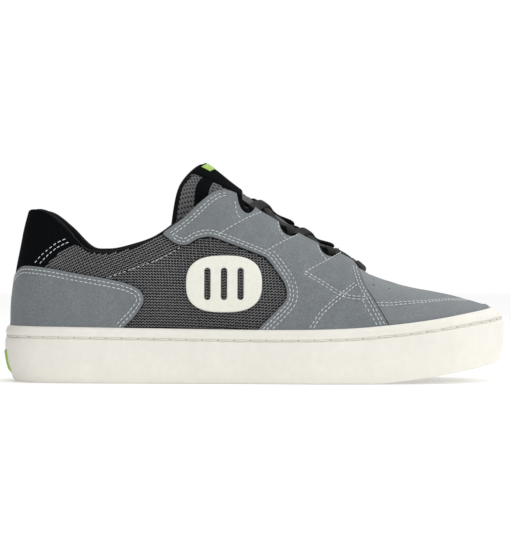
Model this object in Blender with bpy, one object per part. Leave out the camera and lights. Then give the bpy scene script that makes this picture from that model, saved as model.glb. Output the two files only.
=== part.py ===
"""A low skateboarding shoe for the right foot, standing empty on its cup sole.

Metres, +Z up, +X to the toe, the outer side of the foot at -Y.
The origin is on the floor, under the middle of the sole.

Everything follows one surface, last(station, height, offset): the outside of the upper.
A station runs round the shoe, 0 at the back of the heel, 15 at the toe, 30 at the heel again.
A height runs up the upper, 0 at the floor of the sole, 1 at the edge of collar and throat.
"""
import math
from collections import namedtuple

import bmesh
import bpy
import numpy as np
from mathutils import Vector

# Driving sizes
LENGTH = 0.2965
BALL_WIDTH = 0.1060
INSTEP_HEIGHT = 0.1125
HEEL_HEIGHT = 0.1015
CLEAR = 0.0003

# Upper
WALL = 0.0020
COLLAR_PAD = 0.0060
PANEL = 0.0012
PANEL_MARGIN = 0.0012
VAMP_HOLLOW = 0.0014
SCALLOP_DEPTH = 0.0085
SCALLOP_WIDTH = 0.0125
EYELET_BORE = 0.0042
EYELET_INSET = 0.0052
FACING_STEP = 0.0012

# Cup sole
RIM_HEIGHT = 0.0330
SOLE_WALL = 0.0040
TOE_WALL = 0.0088
HEEL_FLOOR = 0.0150
BALL_FLOOR = 0.0110
TOE_SPRING = 0.0123
RIM_STRIP = 0.0062
STITCH_GROOVE = 0.0013
HEEL_TUCK = 0.0052
TOE_TUCK = 0.0018
TREAD_DEPTH = 0.0020
TREAD_GROOVE = 0.0032
TREAD_BORDER = 0.0110
INSOLE = 0.0045

# Small pieces
TONGUE_GAP = 0.0014
TONGUE_PAD = 0.0095
TONGUE_TOE = 0.0040
LABEL = 0.0010
LACE_WIDTH = 0.0070
LACE_THICK = 0.0016
LACE_LIFT = 0.0001
BADGE_WIDTH = 0.0240
BADGE_HEIGHT = 0.0140
BADGE_THICK = 0.0010
VENT = 0.0012

ROUND = 30
TOE = 15

# Stations of the outer side, from heel to toe.
# x in shares of LENGTH, y in shares of BALL_WIDTH.
# Edge and swell heights are shares of HEEL_HEIGHT at the heel and of INSTEP_HEIGHT in front.
Station = namedtuple(
    "Station",
    "foot_x foot_y swell_x swell_y swell_z edge_x edge_y edge_z front square hollow")
LATERAL = (
    Station(0.0150, 0.000, 0.0085, 0.000, 0.540, 0.049, 0.000, 0.985, 0.0, 1.0, 0.0),
    Station(0.0290, -0.165, 0.0220, -0.178, 0.540, 0.061, -0.128, 0.992, 0.0, 1.0, 0.0),
    Station(0.0640, -0.268, 0.0600, -0.288, 0.540, 0.089, -0.212, 0.972, 0.0, 1.0, 0.0),
    Station(0.1280, -0.322, 0.1280, -0.352, 0.515, 0.139, -0.265, 0.892, 0.0, 1.0, 0.0),
    Station(0.2090, -0.336, 0.2090, -0.376, 0.530, 0.209, -0.292, 0.776, 0.0, 1.0, 0.0),
    Station(0.2900, -0.345, 0.2900, -0.388, 0.498, 0.283, -0.297, 0.742, 1.0, 1.0, 0.0),
    Station(0.3680, -0.359, 0.3640, -0.412, 0.550, 0.351, -0.268, 0.850, 1.0, 1.0, 0.0),
    Station(0.4550, -0.382, 0.4520, -0.446, 0.604, 0.434, -0.176, 1.000, 1.0, 1.0, 0.0),
    Station(0.5400, -0.411, 0.5330, -0.474, 0.551, 0.513, -0.152, 0.880, 1.0, 1.0, 0.0),
    Station(0.6240, -0.440, 0.6140, -0.492, 0.498, 0.600, -0.137, 0.747, 1.0, 1.1, 0.0),
    Station(0.7080, -0.450, 0.6950, -0.484, 0.462, 0.674, -0.120, 0.652, 1.0, 1.2, 0.1),
    Station(0.7900, -0.444, 0.7740, -0.470, 0.430, 0.703, -0.096, 0.598, 1.0, 1.6, 0.4),
    Station(0.8620, -0.408, 0.8500, -0.434, 0.408, 0.712, -0.066, 0.578, 1.0, 2.3, 0.7),
    Station(0.9170, -0.318, 0.9120, -0.342, 0.405, 0.7145, -0.042, 0.571, 1.0, 3.2, 0.9),
    Station(0.9520, -0.178, 0.9560, -0.190, 0.412, 0.7155, -0.020, 0.569, 1.0, 4.2, 1.0),
    Station(0.9670, 0.015, 0.9795, 0.015, 0.420, 0.7160, 0.000, 0.568, 1.0, 5.0, 1.0),
)
# What differs on the inner side: the foot's line, the swell and the edge.
Inner = namedtuple("Inner", "foot_y swell_y edge_y edge_z")
MEDIAL = (
    Inner(0.160, 0.174, 0.128, 0.992),
    Inner(0.256, 0.276, 0.210, 0.972),
    Inner(0.302, 0.332, 0.262, 0.898),
    Inner(0.312, 0.350, 0.287, 0.800),
    Inner(0.314, 0.358, 0.290, 0.768),
    Inner(0.318, 0.372, 0.264, 0.880),
    Inner(0.330, 0.400, 0.176, 1.035),
    Inner(0.370, 0.436, 0.152, 0.918),
    Inner(0.422, 0.472, 0.137, 0.780),
    Inner(0.460, 0.492, 0.120, 0.676),
    Inner(0.466, 0.488, 0.100, 0.610),
    Inner(0.430, 0.448, 0.070, 0.582),
    Inner(0.340, 0.358, 0.045, 0.572),
    Inner(0.208, 0.220, 0.022, 0.569),
)

# The rim of the cup sole: x in shares of LENGTH, z in shares of RIM_HEIGHT.
RimPoint = namedtuple("RimPoint", "x z")
RIM_LINE = (
    RimPoint(-0.10, 1.000), RimPoint(0.00, 1.000), RimPoint(0.30, 0.962), RimPoint(0.52, 0.938),
    RimPoint(0.66, 0.955), RimPoint(0.76, 1.022), RimPoint(0.84, 1.112), RimPoint(0.92, 1.240),
    RimPoint(0.98, 1.340), RimPoint(1.06, 1.440),
)

# Where the scallops lie along the throat, in stations of the outer side.
# Each one bares the facing under the quarter, with an eyelet. The front eyelet has no scallop.
SCALLOPS = (7.60, 8.60, 9.58)
FRONT_EYELET = 10.80

# Sections of the tongue from its front end to its top.
# A wing lies inside the upper at a station and height, a shoulder at the throat's edge.
# The crown rises above the shoulders by a share of TONGUE_PAD. The free rows are in shares.
Held = namedtuple("Held", "wing wing_height shoulder shoulder_height rise pad")
TONGUE_HELD = (
    Held(11.40, 0.900, 12.20, 0.930, 0.10, 0.00),
    Held(10.90, 0.860, 11.10, 0.965, 0.05, 0.15),
    Held(10.20, 0.840, 10.30, 1.000, 0.10, 0.30),
    Held(9.50, 0.830, 9.50, 1.000, 0.25, 0.45),
    Held(8.70, 0.830, 8.70, 1.000, 0.40, 0.60),
    Held(7.90, 0.840, 7.90, 1.000, 0.50, 0.75),
    Held(7.10, 0.820, 7.30, 0.980, 0.66, 0.90),
)
Free = namedtuple("Free", "wing wing_height shoulder_x shoulder_y shoulder_z crown_x crown_z pad")
TONGUE_FREE = (
    Free(6.35, 0.900, 0.388, 0.160, 1.020, 0.420, 1.100, 1.00),
    Free(5.80, 0.950, 0.355, 0.162, 1.030, 0.394, 1.146, 0.85),
)

# The lace lies across the tongue at the rows of eyelets, in shares of the tongue's length.
# Its crossings keep clear of those rows by the splay, and reach out by a share of its half width.
LACE_BAR = 0.165
LACE_ROWS = (0.232, 0.372, 0.520, 0.672)
LACE_SPLAY = 0.030
LACE_REACH = 0.36

# Side-view outlines of the panels: x in shares of LENGTH, z in shares of INSTEP_HEIGHT.
QUARTER_LOWER = (
    (0.319, 0.759), (0.342, 0.716), (0.358, 0.704), (0.370, 0.709), (0.386, 0.734),
    (0.402, 0.745), (0.418, 0.743), (0.458, 0.704), (0.507, 0.653), (0.523, 0.628),
    (0.547, 0.543), (0.558, 0.490), (0.559, 0.433), (0.547, 0.390), (0.507, 0.284), (0.480, 0.200),
)
QUARTER_FRONT = ((0.780, 0.200), (0.758, 0.300), (0.734, 0.423), (0.718, 0.500), (0.707, 0.590))
COUNTER_TOP = (
    (0.000, 0.520), (0.021, 0.542), (0.036, 0.585), (0.052, 0.602), (0.101, 0.588),
    (0.152, 0.562), (0.202, 0.539), (0.239, 0.519), (0.264, 0.497), (0.279, 0.468),
    (0.284, 0.428), (0.279, 0.389), (0.264, 0.336), (0.240, 0.270), (0.228, 0.200),
)
TAB_FRONT = ((0.088, 0.600), (0.103, 0.636), (0.123, 0.676), (0.153, 0.725), (0.185, 0.775))
VENT_CENTRE = (0.439, 0.508)
VENT_SIZE = (0.148, 0.290)
VENT_SLOTS = 3


def shares(pairs):
    """Turn side-view shares into metres."""
    return [(x * LENGTH, z * INSTEP_HEIGHT) for x, z in pairs]


def smooth(points, steps):
    """A Catmull-Rom curve through the points, ends kept."""
    p = np.asarray(points, float)
    p = np.vstack([2 * p[0] - p[1], p, 2 * p[-1] - p[-2]])
    out = []
    for i in range(1, len(p) - 2):
        for t in np.arange(steps) / steps:
            out.append(catmull(p[i - 1], p[i], p[i + 1], p[i + 2], t))
    out.append(p[-2])
    return np.array(out)


def catmull(a, b, c, d, t):
    return 0.5 * (2 * b + (c - a) * t + (2 * a - 5 * b + 4 * c - d) * t * t
                  + (3 * b - a - 3 * c + d) * t ** 3)


def blend(value, low, high):
    """0 below low, 1 above high, smooth between."""
    t = min(max((value - low) / (high - low), 0.0), 1.0)
    return t * t * (3 - 2 * t)


def rim_height(x):
    """Top of the cup sole at a place along the shoe."""
    share = x / LENGTH
    i = 1
    while i < len(RIM_LINE) - 3 and share > RIM_LINE[i + 1].x:
        i += 1
    a, b, c, d = RIM_LINE[i - 1:i + 3]
    t = (share - b.x) / (c.x - b.x)
    return RIM_HEIGHT * catmull(a.z, b.z, c.z, d.z, min(max(t, 0.0), 1.0))


def floor_height(x):
    """Top of the sole's floor inside the cup: heel lift, then the ball, then toe spring."""
    drop = blend(x / LENGTH, 0.30, 0.62)
    return HEEL_FLOOR + (BALL_FLOOR - HEEL_FLOOR) * drop + 0.5 * ground(x)


def ground(x):
    """Underside of the sole: flat on the floor, then toe spring."""
    start = 0.725 * LENGTH
    rise = max(x - start, 0.0) / (LENGTH - start)
    return TOE_SPRING * rise ** 1.4


def control_rows():
    """Foot, swell and edge points with weight and hollow, for every whole station."""
    rows = []
    for i, r in enumerate(LATERAL):
        rows.append(control_row(r, r.foot_y, r.swell_y, r.edge_y, r.edge_z))
    for r, m in zip(reversed(LATERAL[1:-1]), reversed(MEDIAL)):
        rows.append(control_row(r, m.foot_y, m.swell_y, m.edge_y, m.edge_z))
    return np.array(rows)


def control_row(r, foot_y, swell_y, edge_y, edge_z):
    high = HEEL_HEIGHT + (INSTEP_HEIGHT - HEEL_HEIGHT) * r.front
    foot_x = r.foot_x * LENGTH
    return (foot_x, foot_y * BALL_WIDTH, floor_height(foot_x) + CLEAR,
            r.swell_x * LENGTH, swell_y * BALL_WIDTH, r.swell_z * high,
            r.edge_x * LENGTH, edge_y * BALL_WIDTH, edge_z * high,
            r.square, r.hollow * VAMP_HOLLOW)


CONTROL = control_rows()


def profile(station):
    """Points up the outside of the upper at one station, with their distance along it."""
    i = math.floor(station)
    row = catmull(*(CONTROL[(i + k) % ROUND] for k in (-1, 0, 1, 2)), station - i)
    foot, swell, edge, weight, hollow = row[0:3], row[3:6], row[6:9], row[9], row[10]
    t = np.linspace(0, 1, 61)[:, None]
    a, b, c = (1 - t) ** 2, 2 * weight * t * (1 - t), t ** 2
    line = (a * foot + b * swell + c * edge) / (a + b + c)
    run = np.concatenate([[0], np.cumsum(np.linalg.norm(np.diff(line, axis=0), axis=1))])
    share = run / run[-1]
    line[:, 2] -= hollow * np.exp(-((share - 0.80) / 0.12) ** 2)
    return line, run


PROFILES = {}


def outside(station, height):
    key = round(station % ROUND, 4)
    if key not in PROFILES:
        PROFILES[key] = profile(key)
    line, run = PROFILES[key]
    at = height * run[-1]
    if at < 0:
        return line[0] + (line[1] - line[0]) * at / run[1]
    if at > run[-1]:
        return line[-1] + (line[-1] - line[-2]) * (at - run[-1]) / (run[-1] - run[-2])
    return np.array([np.interp(at, run, line[:, k]) for k in range(3)])


def rise(station):
    """Length of the upper's outside from foot to edge."""
    outside(station, 0)
    return PROFILES[round(station % ROUND, 4)][1][-1]


def normal(station, height):
    height = min(max(height, 0.0), 1.0)
    along = outside(station + 0.05, height) - outside(station - 0.05, height)
    up = outside(station, min(height + 0.02, 1)) - outside(station, max(height - 0.02, 0))
    n = np.cross(along, up)
    return n / np.linalg.norm(n)


def last(station, height, offset=0.0):
    """The outside of the upper, moved outward by offset."""
    return outside(station, height) + offset * normal(station, height)


def foot(station, offset, above):
    """The lower edge of the wall, level with the sole's floor or above it."""
    x, y, _ = last(station, 0.0, offset)
    return np.array((x, y, floor_height(x) + above))


def height_at(station, z):
    """The height on a station's profile where it first reaches z."""
    line, run = profile(station)
    return float(np.interp(z, line[:, 2], run)) / run[-1]


def rim_at(station, above=0.0):
    """The height on a station's profile where the sole's rim lies, or a little above it."""
    guess = outside(station, 0.25)
    for _ in range(3):
        level = height_at(station, rim_height(guess[0]) + above)
        guess = outside(station, level)
    return level


def mirrored(station):
    return ROUND - station


def edge_at(station):
    """Where the upper's wall ends: at the collar's edge, and just inside the quarter's at the throat."""
    side = station if station <= TOE else mirrored(station)
    return 1 - FACING_STEP * blend(side, 6.4, 7.0) / rise(station)


def columns(first, end):
    """Stations every half step from first to end, and every quarter step round toe and heel."""
    kept = []
    for s in np.arange(first, end + 0.001, 0.25):
        turning = 13 < s < 17 or min(s, abs(ROUND - s)) < 1.3
        if turning or s % 0.5 == 0:
            kept.append(float(s))
    return kept


def pad(station):
    """Thickness that the collar's padding adds, 0 at the throat and full round the ankle."""
    side = station if station <= TOE else mirrored(station)
    return COLLAR_PAD * (1 - blend(side, 5.6, 7.0))


def wall(station, height):
    """Thickness of the upper: thin below, padded towards the collar."""
    return WALL + pad(station) * blend(height, 0.45, 0.85)


def new_object(name, bm, collection, material):
    bmesh.ops.recalc_face_normals(bm, faces=bm.faces)
    mesh = bpy.data.meshes.new(name)
    bm.to_mesh(mesh)
    bm.free()
    mesh.shade_smooth()
    mesh.set_sharp_from_angle(angle=math.radians(40))
    obj = bpy.data.objects.new(name, mesh)
    collection.objects.link(obj)
    if material:
        mesh.materials.append(material)
    return obj


ORIGIN = []


def place(point):
    """From the shoe's own frame, heel near x 0, to the part's: the middle of the footprint."""
    if not ORIGIN:
        spots = [p[:2] for s in columns(0, ROUND - 0.25) for p in sole_column(s)]
        spots += [p[:2] for row in badge_faces()[0] for p in row]
        ORIGIN.extend(0.5 * (np.min(spots, axis=0) + np.max(spots, axis=0)))
    return Vector((point[0] - ORIGIN[0], point[1] - ORIGIN[1], point[2]))


def add_grid(bm, grid, loop_rows=False, loop_columns=False, falling=False):
    """Triangles through a grid of points, row by row. Returns the rows of vertices."""
    rows = [[bm.verts.new(place(p)) for p in row] for row in grid]
    skin(bm, rows, loop_rows, loop_columns, falling)
    return rows


def skin(bm, rows, loop_rows=False, loop_columns=False, falling=False):
    """Join rows of vertices. Rows that fall down the shoe take the other diagonal,

    so that two surfaces that face each other bend along the same lines."""
    count = len(rows[0])
    for i in range(len(rows) if loop_rows else len(rows) - 1):
        low, high = rows[i], rows[(i + 1) % len(rows)]
        for j in range(count if loop_columns else count - 1):
            k = (j + 1) % count
            if falling:
                bm.faces.new((low[j], low[k], high[j]))
                bm.faces.new((low[k], high[k], high[j]))
            else:
                bm.faces.new((low[j], low[k], high[k]))
                bm.faces.new((low[j], high[k], high[j]))


def add_ladder(bm, ring):
    """Close a ring with rungs from its outer to its inner side, heel to toe."""
    half = len(ring) // 2
    for i in range(half):
        corners = [ring[i], ring[i + 1], ring[-i - 1], ring[-i] if i else ring[0]]
        bm.faces.new(list(dict.fromkeys(corners)))


def add_slab(name, outer, inner, collection, material):
    """A closed sheet between two open grids of the same size."""
    bm = bmesh.new()
    top = add_grid(bm, outer)
    under = add_grid(bm, inner)
    for a, b in ((top[0], under[0]), (top[-1], under[-1])):
        skin(bm, [a, b])
    for side in (0, -1):
        skin(bm, [[row[side] for row in top], [row[side] for row in under]])
    return new_object(name, bm, collection, material)


def prism(name, outline, y_from, y_to, collection):
    """A side-view outline pushed across the shoe, as a cutter."""
    bm = bmesh.new()
    face = bm.faces.new([bm.verts.new(place((x, y_from, z))) for x, z in outline])
    grown = bmesh.ops.extrude_face_region(bm, geom=[face])["geom"]
    moved = [v for v in grown if isinstance(v, bmesh.types.BMVert)]
    bmesh.ops.translate(bm, verts=moved, vec=(0, y_to - y_from, 0))
    bmesh.ops.triangulate(bm, faces=bm.faces)
    return hide(new_object(name, bm, collection, None))


def hide(cutter):
    cutter.hide_render = True
    cutter.display_type = "WIRE"
    return cutter


def cut(obj, cutter, operation):
    step = obj.modifiers.new(cutter.name, "BOOLEAN")
    step.operation = operation
    step.object = cutter
    step.solver = "EXACT"


def paint(name, colour, roughness):
    material = bpy.data.materials.new(name)
    material.use_nodes = True
    shader = material.node_tree.nodes["Principled BSDF"]
    shader.inputs["Base Color"].default_value = (*colour, 1)
    shader.inputs["Roughness"].default_value = roughness
    shader.inputs["Metallic"].default_value = 0.0
    return material


def levels_above(rim, edge):
    """Heights of the rows between the sole's rim and the edge, closer near the edge."""
    return [rim + (edge - rim) * h for h in (0.30, 0.50, 0.68, 0.84, 0.94)]


def make_upper(shoe, material):
    """One ring-shaped wall: up the outside, over the edge, down the inside."""
    stations = columns(0, ROUND - 0.25)
    outer, inner = [], []
    for s in stations:
        edge, rim, thick = edge_at(s), rim_at(s), wall(s, 1.0)
        levels = [0.0, 0.5 * rim, rim] + levels_above(rim, edge)
        roll = min(0.35 * thick / rise(s), 0.06)
        out = [foot(s, 0.0, CLEAR)] + [last(s, h) for h in levels[1:]]
        out.append(last(s, edge - 0.4 * roll, -0.12 * thick))
        out.append(last(s, edge, -0.5 * thick))
        out.append(last(s, edge - 0.4 * roll, -0.88 * thick))
        outer.append(out)
        inner.append([foot(s, -WALL, CLEAR)] + [last(s, h, -wall(s, h)) for h in levels[1:]])
    bm = bmesh.new()
    grid = [[column[k] for column in outer] for k in range(len(outer[0]))]
    grid += [[column[k] for column in inner] for k in reversed(range(len(inner[0])))]
    add_grid(bm, grid, loop_rows=True, loop_columns=True)
    return new_object("upper", bm, shoe, material)


def sole_out(x):
    """How far the sole's side stands out from the upper at a place along the shoe."""
    return SOLE_WALL + (TOE_WALL - SOLE_WALL) * blend(x / LENGTH, 0.80, 0.97)


def sole_column(station):
    """Points of the cup sole at one station, from its bottom edge over the rim to its floor."""
    rim = rim_at(station)
    seat = last(station, rim, CLEAR)
    out = normal(station, 0.5 * rim) * (1, 1, 0)
    out /= np.linalg.norm(out)
    x = seat[0]
    top, low = rim_height(x), ground(x + sole_out(x) * out[0])
    thick = sole_out(x)
    tuck = HEEL_TUCK + (TOE_TUCK - HEEL_TUCK) * x / LENGTH
    groove = top - RIM_STRIP
    bumper = thick - SOLE_WALL
    rows = (
        (low, thick - tuck),
        (low + 0.10 * (groove - low), thick - 0.80 * tuck),
        (low + 0.40 * (groove - low), thick - 0.30 * tuck),
        (low + 0.80 * (groove - low), thick),
        (groove - 0.4 * STITCH_GROOVE, thick - 0.1 * STITCH_GROOVE),
        (groove, thick - STITCH_GROOVE),
        (groove + 0.8 * STITCH_GROOVE, thick - 0.8 * STITCH_GROOVE - 0.15 * bumper),
        (top - 0.28 * RIM_STRIP, thick - STITCH_GROOVE - 0.5 * bumper),
        (top, thick - 0.6 * SOLE_WALL - 0.8 * bumper),
    )
    points = [np.array((*(seat[:2] + out[:2] * away), z)) for z, away in rows]
    points.append(seat)
    points.append(last(station, 0.5 * rim, CLEAR))
    points.append(foot(station, CLEAR, 0.0))
    return points


def make_outsole(shoe, cutters, material):
    stations = columns(0, ROUND - 0.25)
    sides = [sole_column(s) for s in stations]
    grid = [[column[k] for column in sides] for k in range(len(sides[0]))]
    bm = bmesh.new()
    rows = add_grid(bm, grid, loop_columns=True, falling=True)
    add_ladder(bm, rows[0])
    add_ladder(bm, rows[-1])
    sole = new_object("outsole", bm, shoe, material)
    for i, (share, kind) in enumerate(tread_places()):
        cut(sole, tread_cutter(f"tread_{i}", share, kind, cutters), "DIFFERENCE")
    return sole


def tread_places():
    """Grooves across the sole: the heel's, then the ball's, where the bottom is flat."""
    heel = [(0.05 + 0.045 * i, "heel") for i in range(5)]
    ball = [(0.46 + 0.045 * i, "ball") for i in range(6)]
    return heel + ball


def half_widths(x):
    """How far the bottom reaches to each side at a place along the shoe."""
    found = []
    for stations in (np.arange(0.5, 14.6, 0.5), np.arange(15.5, 29.6, 0.5)):
        edge = sorted((sole_column(s)[0][0], sole_column(s)[0][1]) for s in stations)
        found.append(np.interp(x, [p[0] for p in edge], [p[1] for p in edge]))
    return found


def tread_cutter(name, share, kind, cutters):
    """A shallow bar that ends inside the sole's border."""
    x = share * LENGTH
    low, high = half_widths(x)
    length = high - low - 2 * TREAD_BORDER
    bm = bmesh.new()
    bmesh.ops.create_cube(bm, size=1)
    bmesh.ops.scale(bm, verts=bm.verts, vec=(TREAD_GROOVE, length, 2 * TREAD_DEPTH))
    bar = new_object(name, bm, cutters, None)
    bar.location = place((x, 0.5 * (low + high), 0))
    return hide(bar)


def make_insole(shoe, material):
    stations = columns(0, ROUND - 0.25)
    gap = -(WALL + CLEAR)
    bottom, top = [], []
    for s in stations:
        high = last(s, INSOLE / rise(s), gap)
        bottom.append(foot(s, gap, CLEAR))
        top.append((high[0], high[1], floor_height(high[0]) + CLEAR + INSOLE))
    bm = bmesh.new()
    rows = add_grid(bm, [bottom, top], loop_columns=True)
    add_ladder(bm, rows[0])
    add_ladder(bm, rows[1])
    return new_object("insole", bm, shoe, material)


def panel(name, stations, shoe, material, thick=PANEL, rows=7):
    """A sheet that lies on the upper, on its own rows, from the sole's rim to the edge."""
    outer, inner = [], []
    for s in stations:
        rim, edge = rim_at(s), edge_at(s)
        top = edge - PANEL_MARGIN / rise(s)
        levels = [above_rim(s)] + levels_above(rim, edge) + [top]
        levels = levels[:rows]
        outer.append([last(s, h, CLEAR + thick) for h in levels])
        inner.append([last(s, h, CLEAR) for h in levels])
    return add_slab(name, outer, inner, shoe, material)


def above_rim(station):
    return rim_at(station, 2 * CLEAR)


def scallop_cutter(name, centre, cutters):
    """A block with a round lower end, square to the upper at the throat's edge."""
    pitch = np.linalg.norm(outside(centre + 0.3, 1) - outside(centre - 0.3, 1)) / 0.6
    half, deep = 0.5 * SCALLOP_WIDTH / pitch, SCALLOP_DEPTH / rise(centre)
    turns = np.linspace(0, math.pi, 9)
    line = [(centre + half * math.cos(a), 1 - deep * math.sin(a)) for a in turns]
    line = [(line[0][0], 1 + deep)] + line + [(line[-1][0], 1 + deep)]
    bm = bmesh.new()
    low, high = add_grid(bm, [[last(s, h, away) for s, h in line] for away in (-2 * WALL, 4 * WALL)],
                         loop_columns=True)
    bmesh.ops.triangulate(bm, faces=[bm.faces.new(low), bm.faces.new(high)])
    return hide(new_object(name, bm, cutters, None))


def make_quarters(shoe, cutters, material):
    """Eyestay and quarter of each side, cut from a sheet on the upper by its side outline."""
    low = list(smooth(shares(QUARTER_LOWER), 2))
    front = list(smooth(shares(QUARTER_FRONT), 2))
    high = 1.3 * INSTEP_HEIGHT
    outline = low + front + [(front[-1][0], high), (low[0][0], high)]
    for side, far in (("lateral", -BALL_WIDTH), ("medial", BALL_WIDTH)):
        stations = columns(5.0, 12.5)
        if side == "medial":
            stations = sorted(mirrored(s) for s in stations)
        name = f"quarter_{side}"
        sheet = panel(name, stations, shoe, material)
        shape = prism(f"{name}_outline", outline, 0.0, far, cutters)
        cut(sheet, shape, "INTERSECT")
        for i, centre in enumerate(SCALLOPS):
            at = centre if side == "lateral" else mirrored(centre)
            cut(sheet, scallop_cutter(f"{name}_scallop_{i}", at, cutters), "DIFFERENCE")


def make_heel(shoe, cutters, suede, black):
    """Counter and tab, cut from one sheet round the heel."""
    top = list(smooth(shares(COUNTER_TOP), 2))
    behind = -0.1 * LENGTH
    base = 0.1 * INSTEP_HEIGHT
    width = BALL_WIDTH
    outline = [(behind, top[0][1])] + top + [(top[-1][0], base), (behind, base)]
    stations = [s - ROUND for s in columns(24.0, 30.0)] + columns(0.5, 6.0)
    counter = panel("heel_counter", stations, shoe, suede)
    cut(counter, prism("heel_counter_outline", outline, -width, width, cutters), "INTERSECT")
    front = list(smooth(shares(TAB_FRONT), 2))
    edge = [p for p in top if p[0] < front[0][0]]
    lower = [(x, z + CLEAR) for x, z in edge]
    high = 1.3 * INSTEP_HEIGHT
    outline = [(behind, lower[0][1])] + lower + front + [(front[-1][0], high), (behind, high)]
    tab = panel("heel_tab", stations, shoe, black)
    cut(tab, prism("heel_tab_outline", outline, -width, width, cutters), "INTERSECT")


def make_vents(shoe, cutters, material):
    """A moulded oval plate with plain slots on the mesh of each side."""
    cx, cz = shares([VENT_CENTRE])[0]
    wide, tall = VENT_SIZE[0] * LENGTH, VENT_SIZE[1] * INSTEP_HEIGHT
    turn = np.linspace(0, 2 * math.pi, 22, endpoint=False)
    oval = [(cx + 0.5 * wide * superpower(math.cos(a)), cz + 0.5 * tall * superpower(math.sin(a)))
            for a in turn]
    pitch = wide / (VENT_SLOTS + 1.6)
    for side, far in (("lateral", -BALL_WIDTH), ("medial", BALL_WIDTH)):
        stations = columns(5.5, 9.0)
        if side == "medial":
            stations = sorted(mirrored(s) for s in stations)
        name = f"side_vent_{side}"
        plate = panel(name, stations, shoe, material, thick=VENT, rows=5)
        cut(plate, prism(f"{name}_outline", oval, 0.0, far, cutters), "INTERSECT")
        for i in range(VENT_SLOTS):
            x = cx + (i - 0.5 * (VENT_SLOTS - 1)) * pitch
            slot = capsule(x, cz, 0.35 * pitch, 0.56 * tall)
            cut(plate, prism(f"{name}_slot_{i}", slot, 0.0, far, cutters), "DIFFERENCE")


def superpower(value):
    """Makes an oval slightly square."""
    return math.copysign(abs(value) ** 0.75, value)


def capsule(x, z, width, height):
    """An upright slot with round ends."""
    r, straight = 0.5 * width, 0.5 * (height - width)
    points = []
    for i in range(6):
        a = math.pi * i / 5
        points.append((x + r * math.cos(a), z + straight + r * math.sin(a)))
    for i in range(6):
        a = math.pi + math.pi * i / 5
        points.append((x + r * math.cos(a), z - straight + r * math.sin(a)))
    return points


def inside(station, height):
    """A point just inside the upper's wall."""
    return last(station, height, -(wall(station, height) + TONGUE_GAP))


def tongue_sections():
    """Wing, shoulder and crown of each section, with its thickness."""
    sections = []
    for r in TONGUE_HELD:
        side = inside(r.wing, r.wing_height), inside(r.shoulder, r.shoulder_height)
        other = inside(mirrored(r.wing), r.wing_height), inside(mirrored(r.shoulder), r.shoulder_height)
        crown = 0.5 * (side[1] + other[1]) + (0, 0, r.rise * TONGUE_PAD)
        thick = TONGUE_TOE + (TONGUE_PAD - TONGUE_TOE) * r.pad
        sections.append(((side[0], side[1], crown, other[1], other[0]), thick))
    for r in TONGUE_FREE:
        shoulder = np.array((r.shoulder_x * LENGTH, -r.shoulder_y * BALL_WIDTH, r.shoulder_z * INSTEP_HEIGHT))
        crown = np.array((r.crown_x * LENGTH, 0, r.crown_z * INSTEP_HEIGHT))
        gap = -(WALL + COLLAR_PAD + TONGUE_GAP)
        wing = last(r.wing, r.wing_height, gap)
        other = last(mirrored(r.wing), r.wing_height, gap)
        thick = TONGUE_TOE + (TONGUE_PAD - TONGUE_TOE) * r.pad
        sections.append(((wing, shoulder, crown, shoulder * (1, -1, 1), other), thick))
    return sections


TONGUE = []


def tongue_surface(along, across):
    """Outside of the tongue: along 0 at its front end to 1 at its top, across -1 to 1."""
    if not TONGUE:
        TONGUE.extend(tongue_sections())
    last_row = len(TONGUE) - 1
    u = along * last_row
    i = min(int(u), last_row - 1)
    picks = [min(max(i + k, 0), last_row) for k in (-1, 0, 1, 2)]
    rings = [np.array(TONGUE[k][0]) for k in picks]
    thick = [TONGUE[k][1] for k in picks]
    ring = catmull(*rings, u - i)
    v = (across + 1) * 2
    j = min(int(v), 3)
    ends = np.vstack([2 * ring[0] - ring[1], ring, 2 * ring[-1] - ring[-2]])
    return catmull(ends[j], ends[j + 1], ends[j + 2], ends[j + 3], v - j), catmull(*thick, u - i)


def tongue(along, across, offset=0.0):
    """The tongue's outside moved outward, or inward when offset is negative."""
    step = 0.01
    low_u, high_u = max(along - step, 0), min(along + step, 1)
    low_v, high_v = max(across - step, -1), min(across + step, 1)
    du = tongue_surface(high_u, across)[0] - tongue_surface(low_u, across)[0]
    dv = tongue_surface(along, high_v)[0] - tongue_surface(along, low_v)[0]
    n = np.cross(du, dv)
    n /= -np.linalg.norm(n)
    return tongue_surface(along, across)[0] + offset * n


def tongue_thick(along, across):
    return tongue_surface(along, 0)[1] * (1 - 0.55 * abs(across) ** 2)


def make_tongue(shoe, material):
    rows = np.linspace(0, 1, 17)
    across = np.linspace(-1, 1, 13)
    outer = [[tongue(u, v) for v in across] for u in rows]
    inner = [[tongue(u, v, -tongue_thick(u, v)) for v in across] for u in rows]
    return add_slab("tongue", outer, inner, shoe, material)


def make_label(shoe, material):
    rows = np.linspace(0.80, 0.965, 6)
    across = np.linspace(-0.34, 0.34, 7)
    outer = [[tongue(u, v, CLEAR + LABEL) for v in across] for u in rows]
    inner = [[tongue(u, v, CLEAR) for v in across] for u in rows]
    return add_slab("tongue_label", outer, inner, shoe, material)


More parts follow.
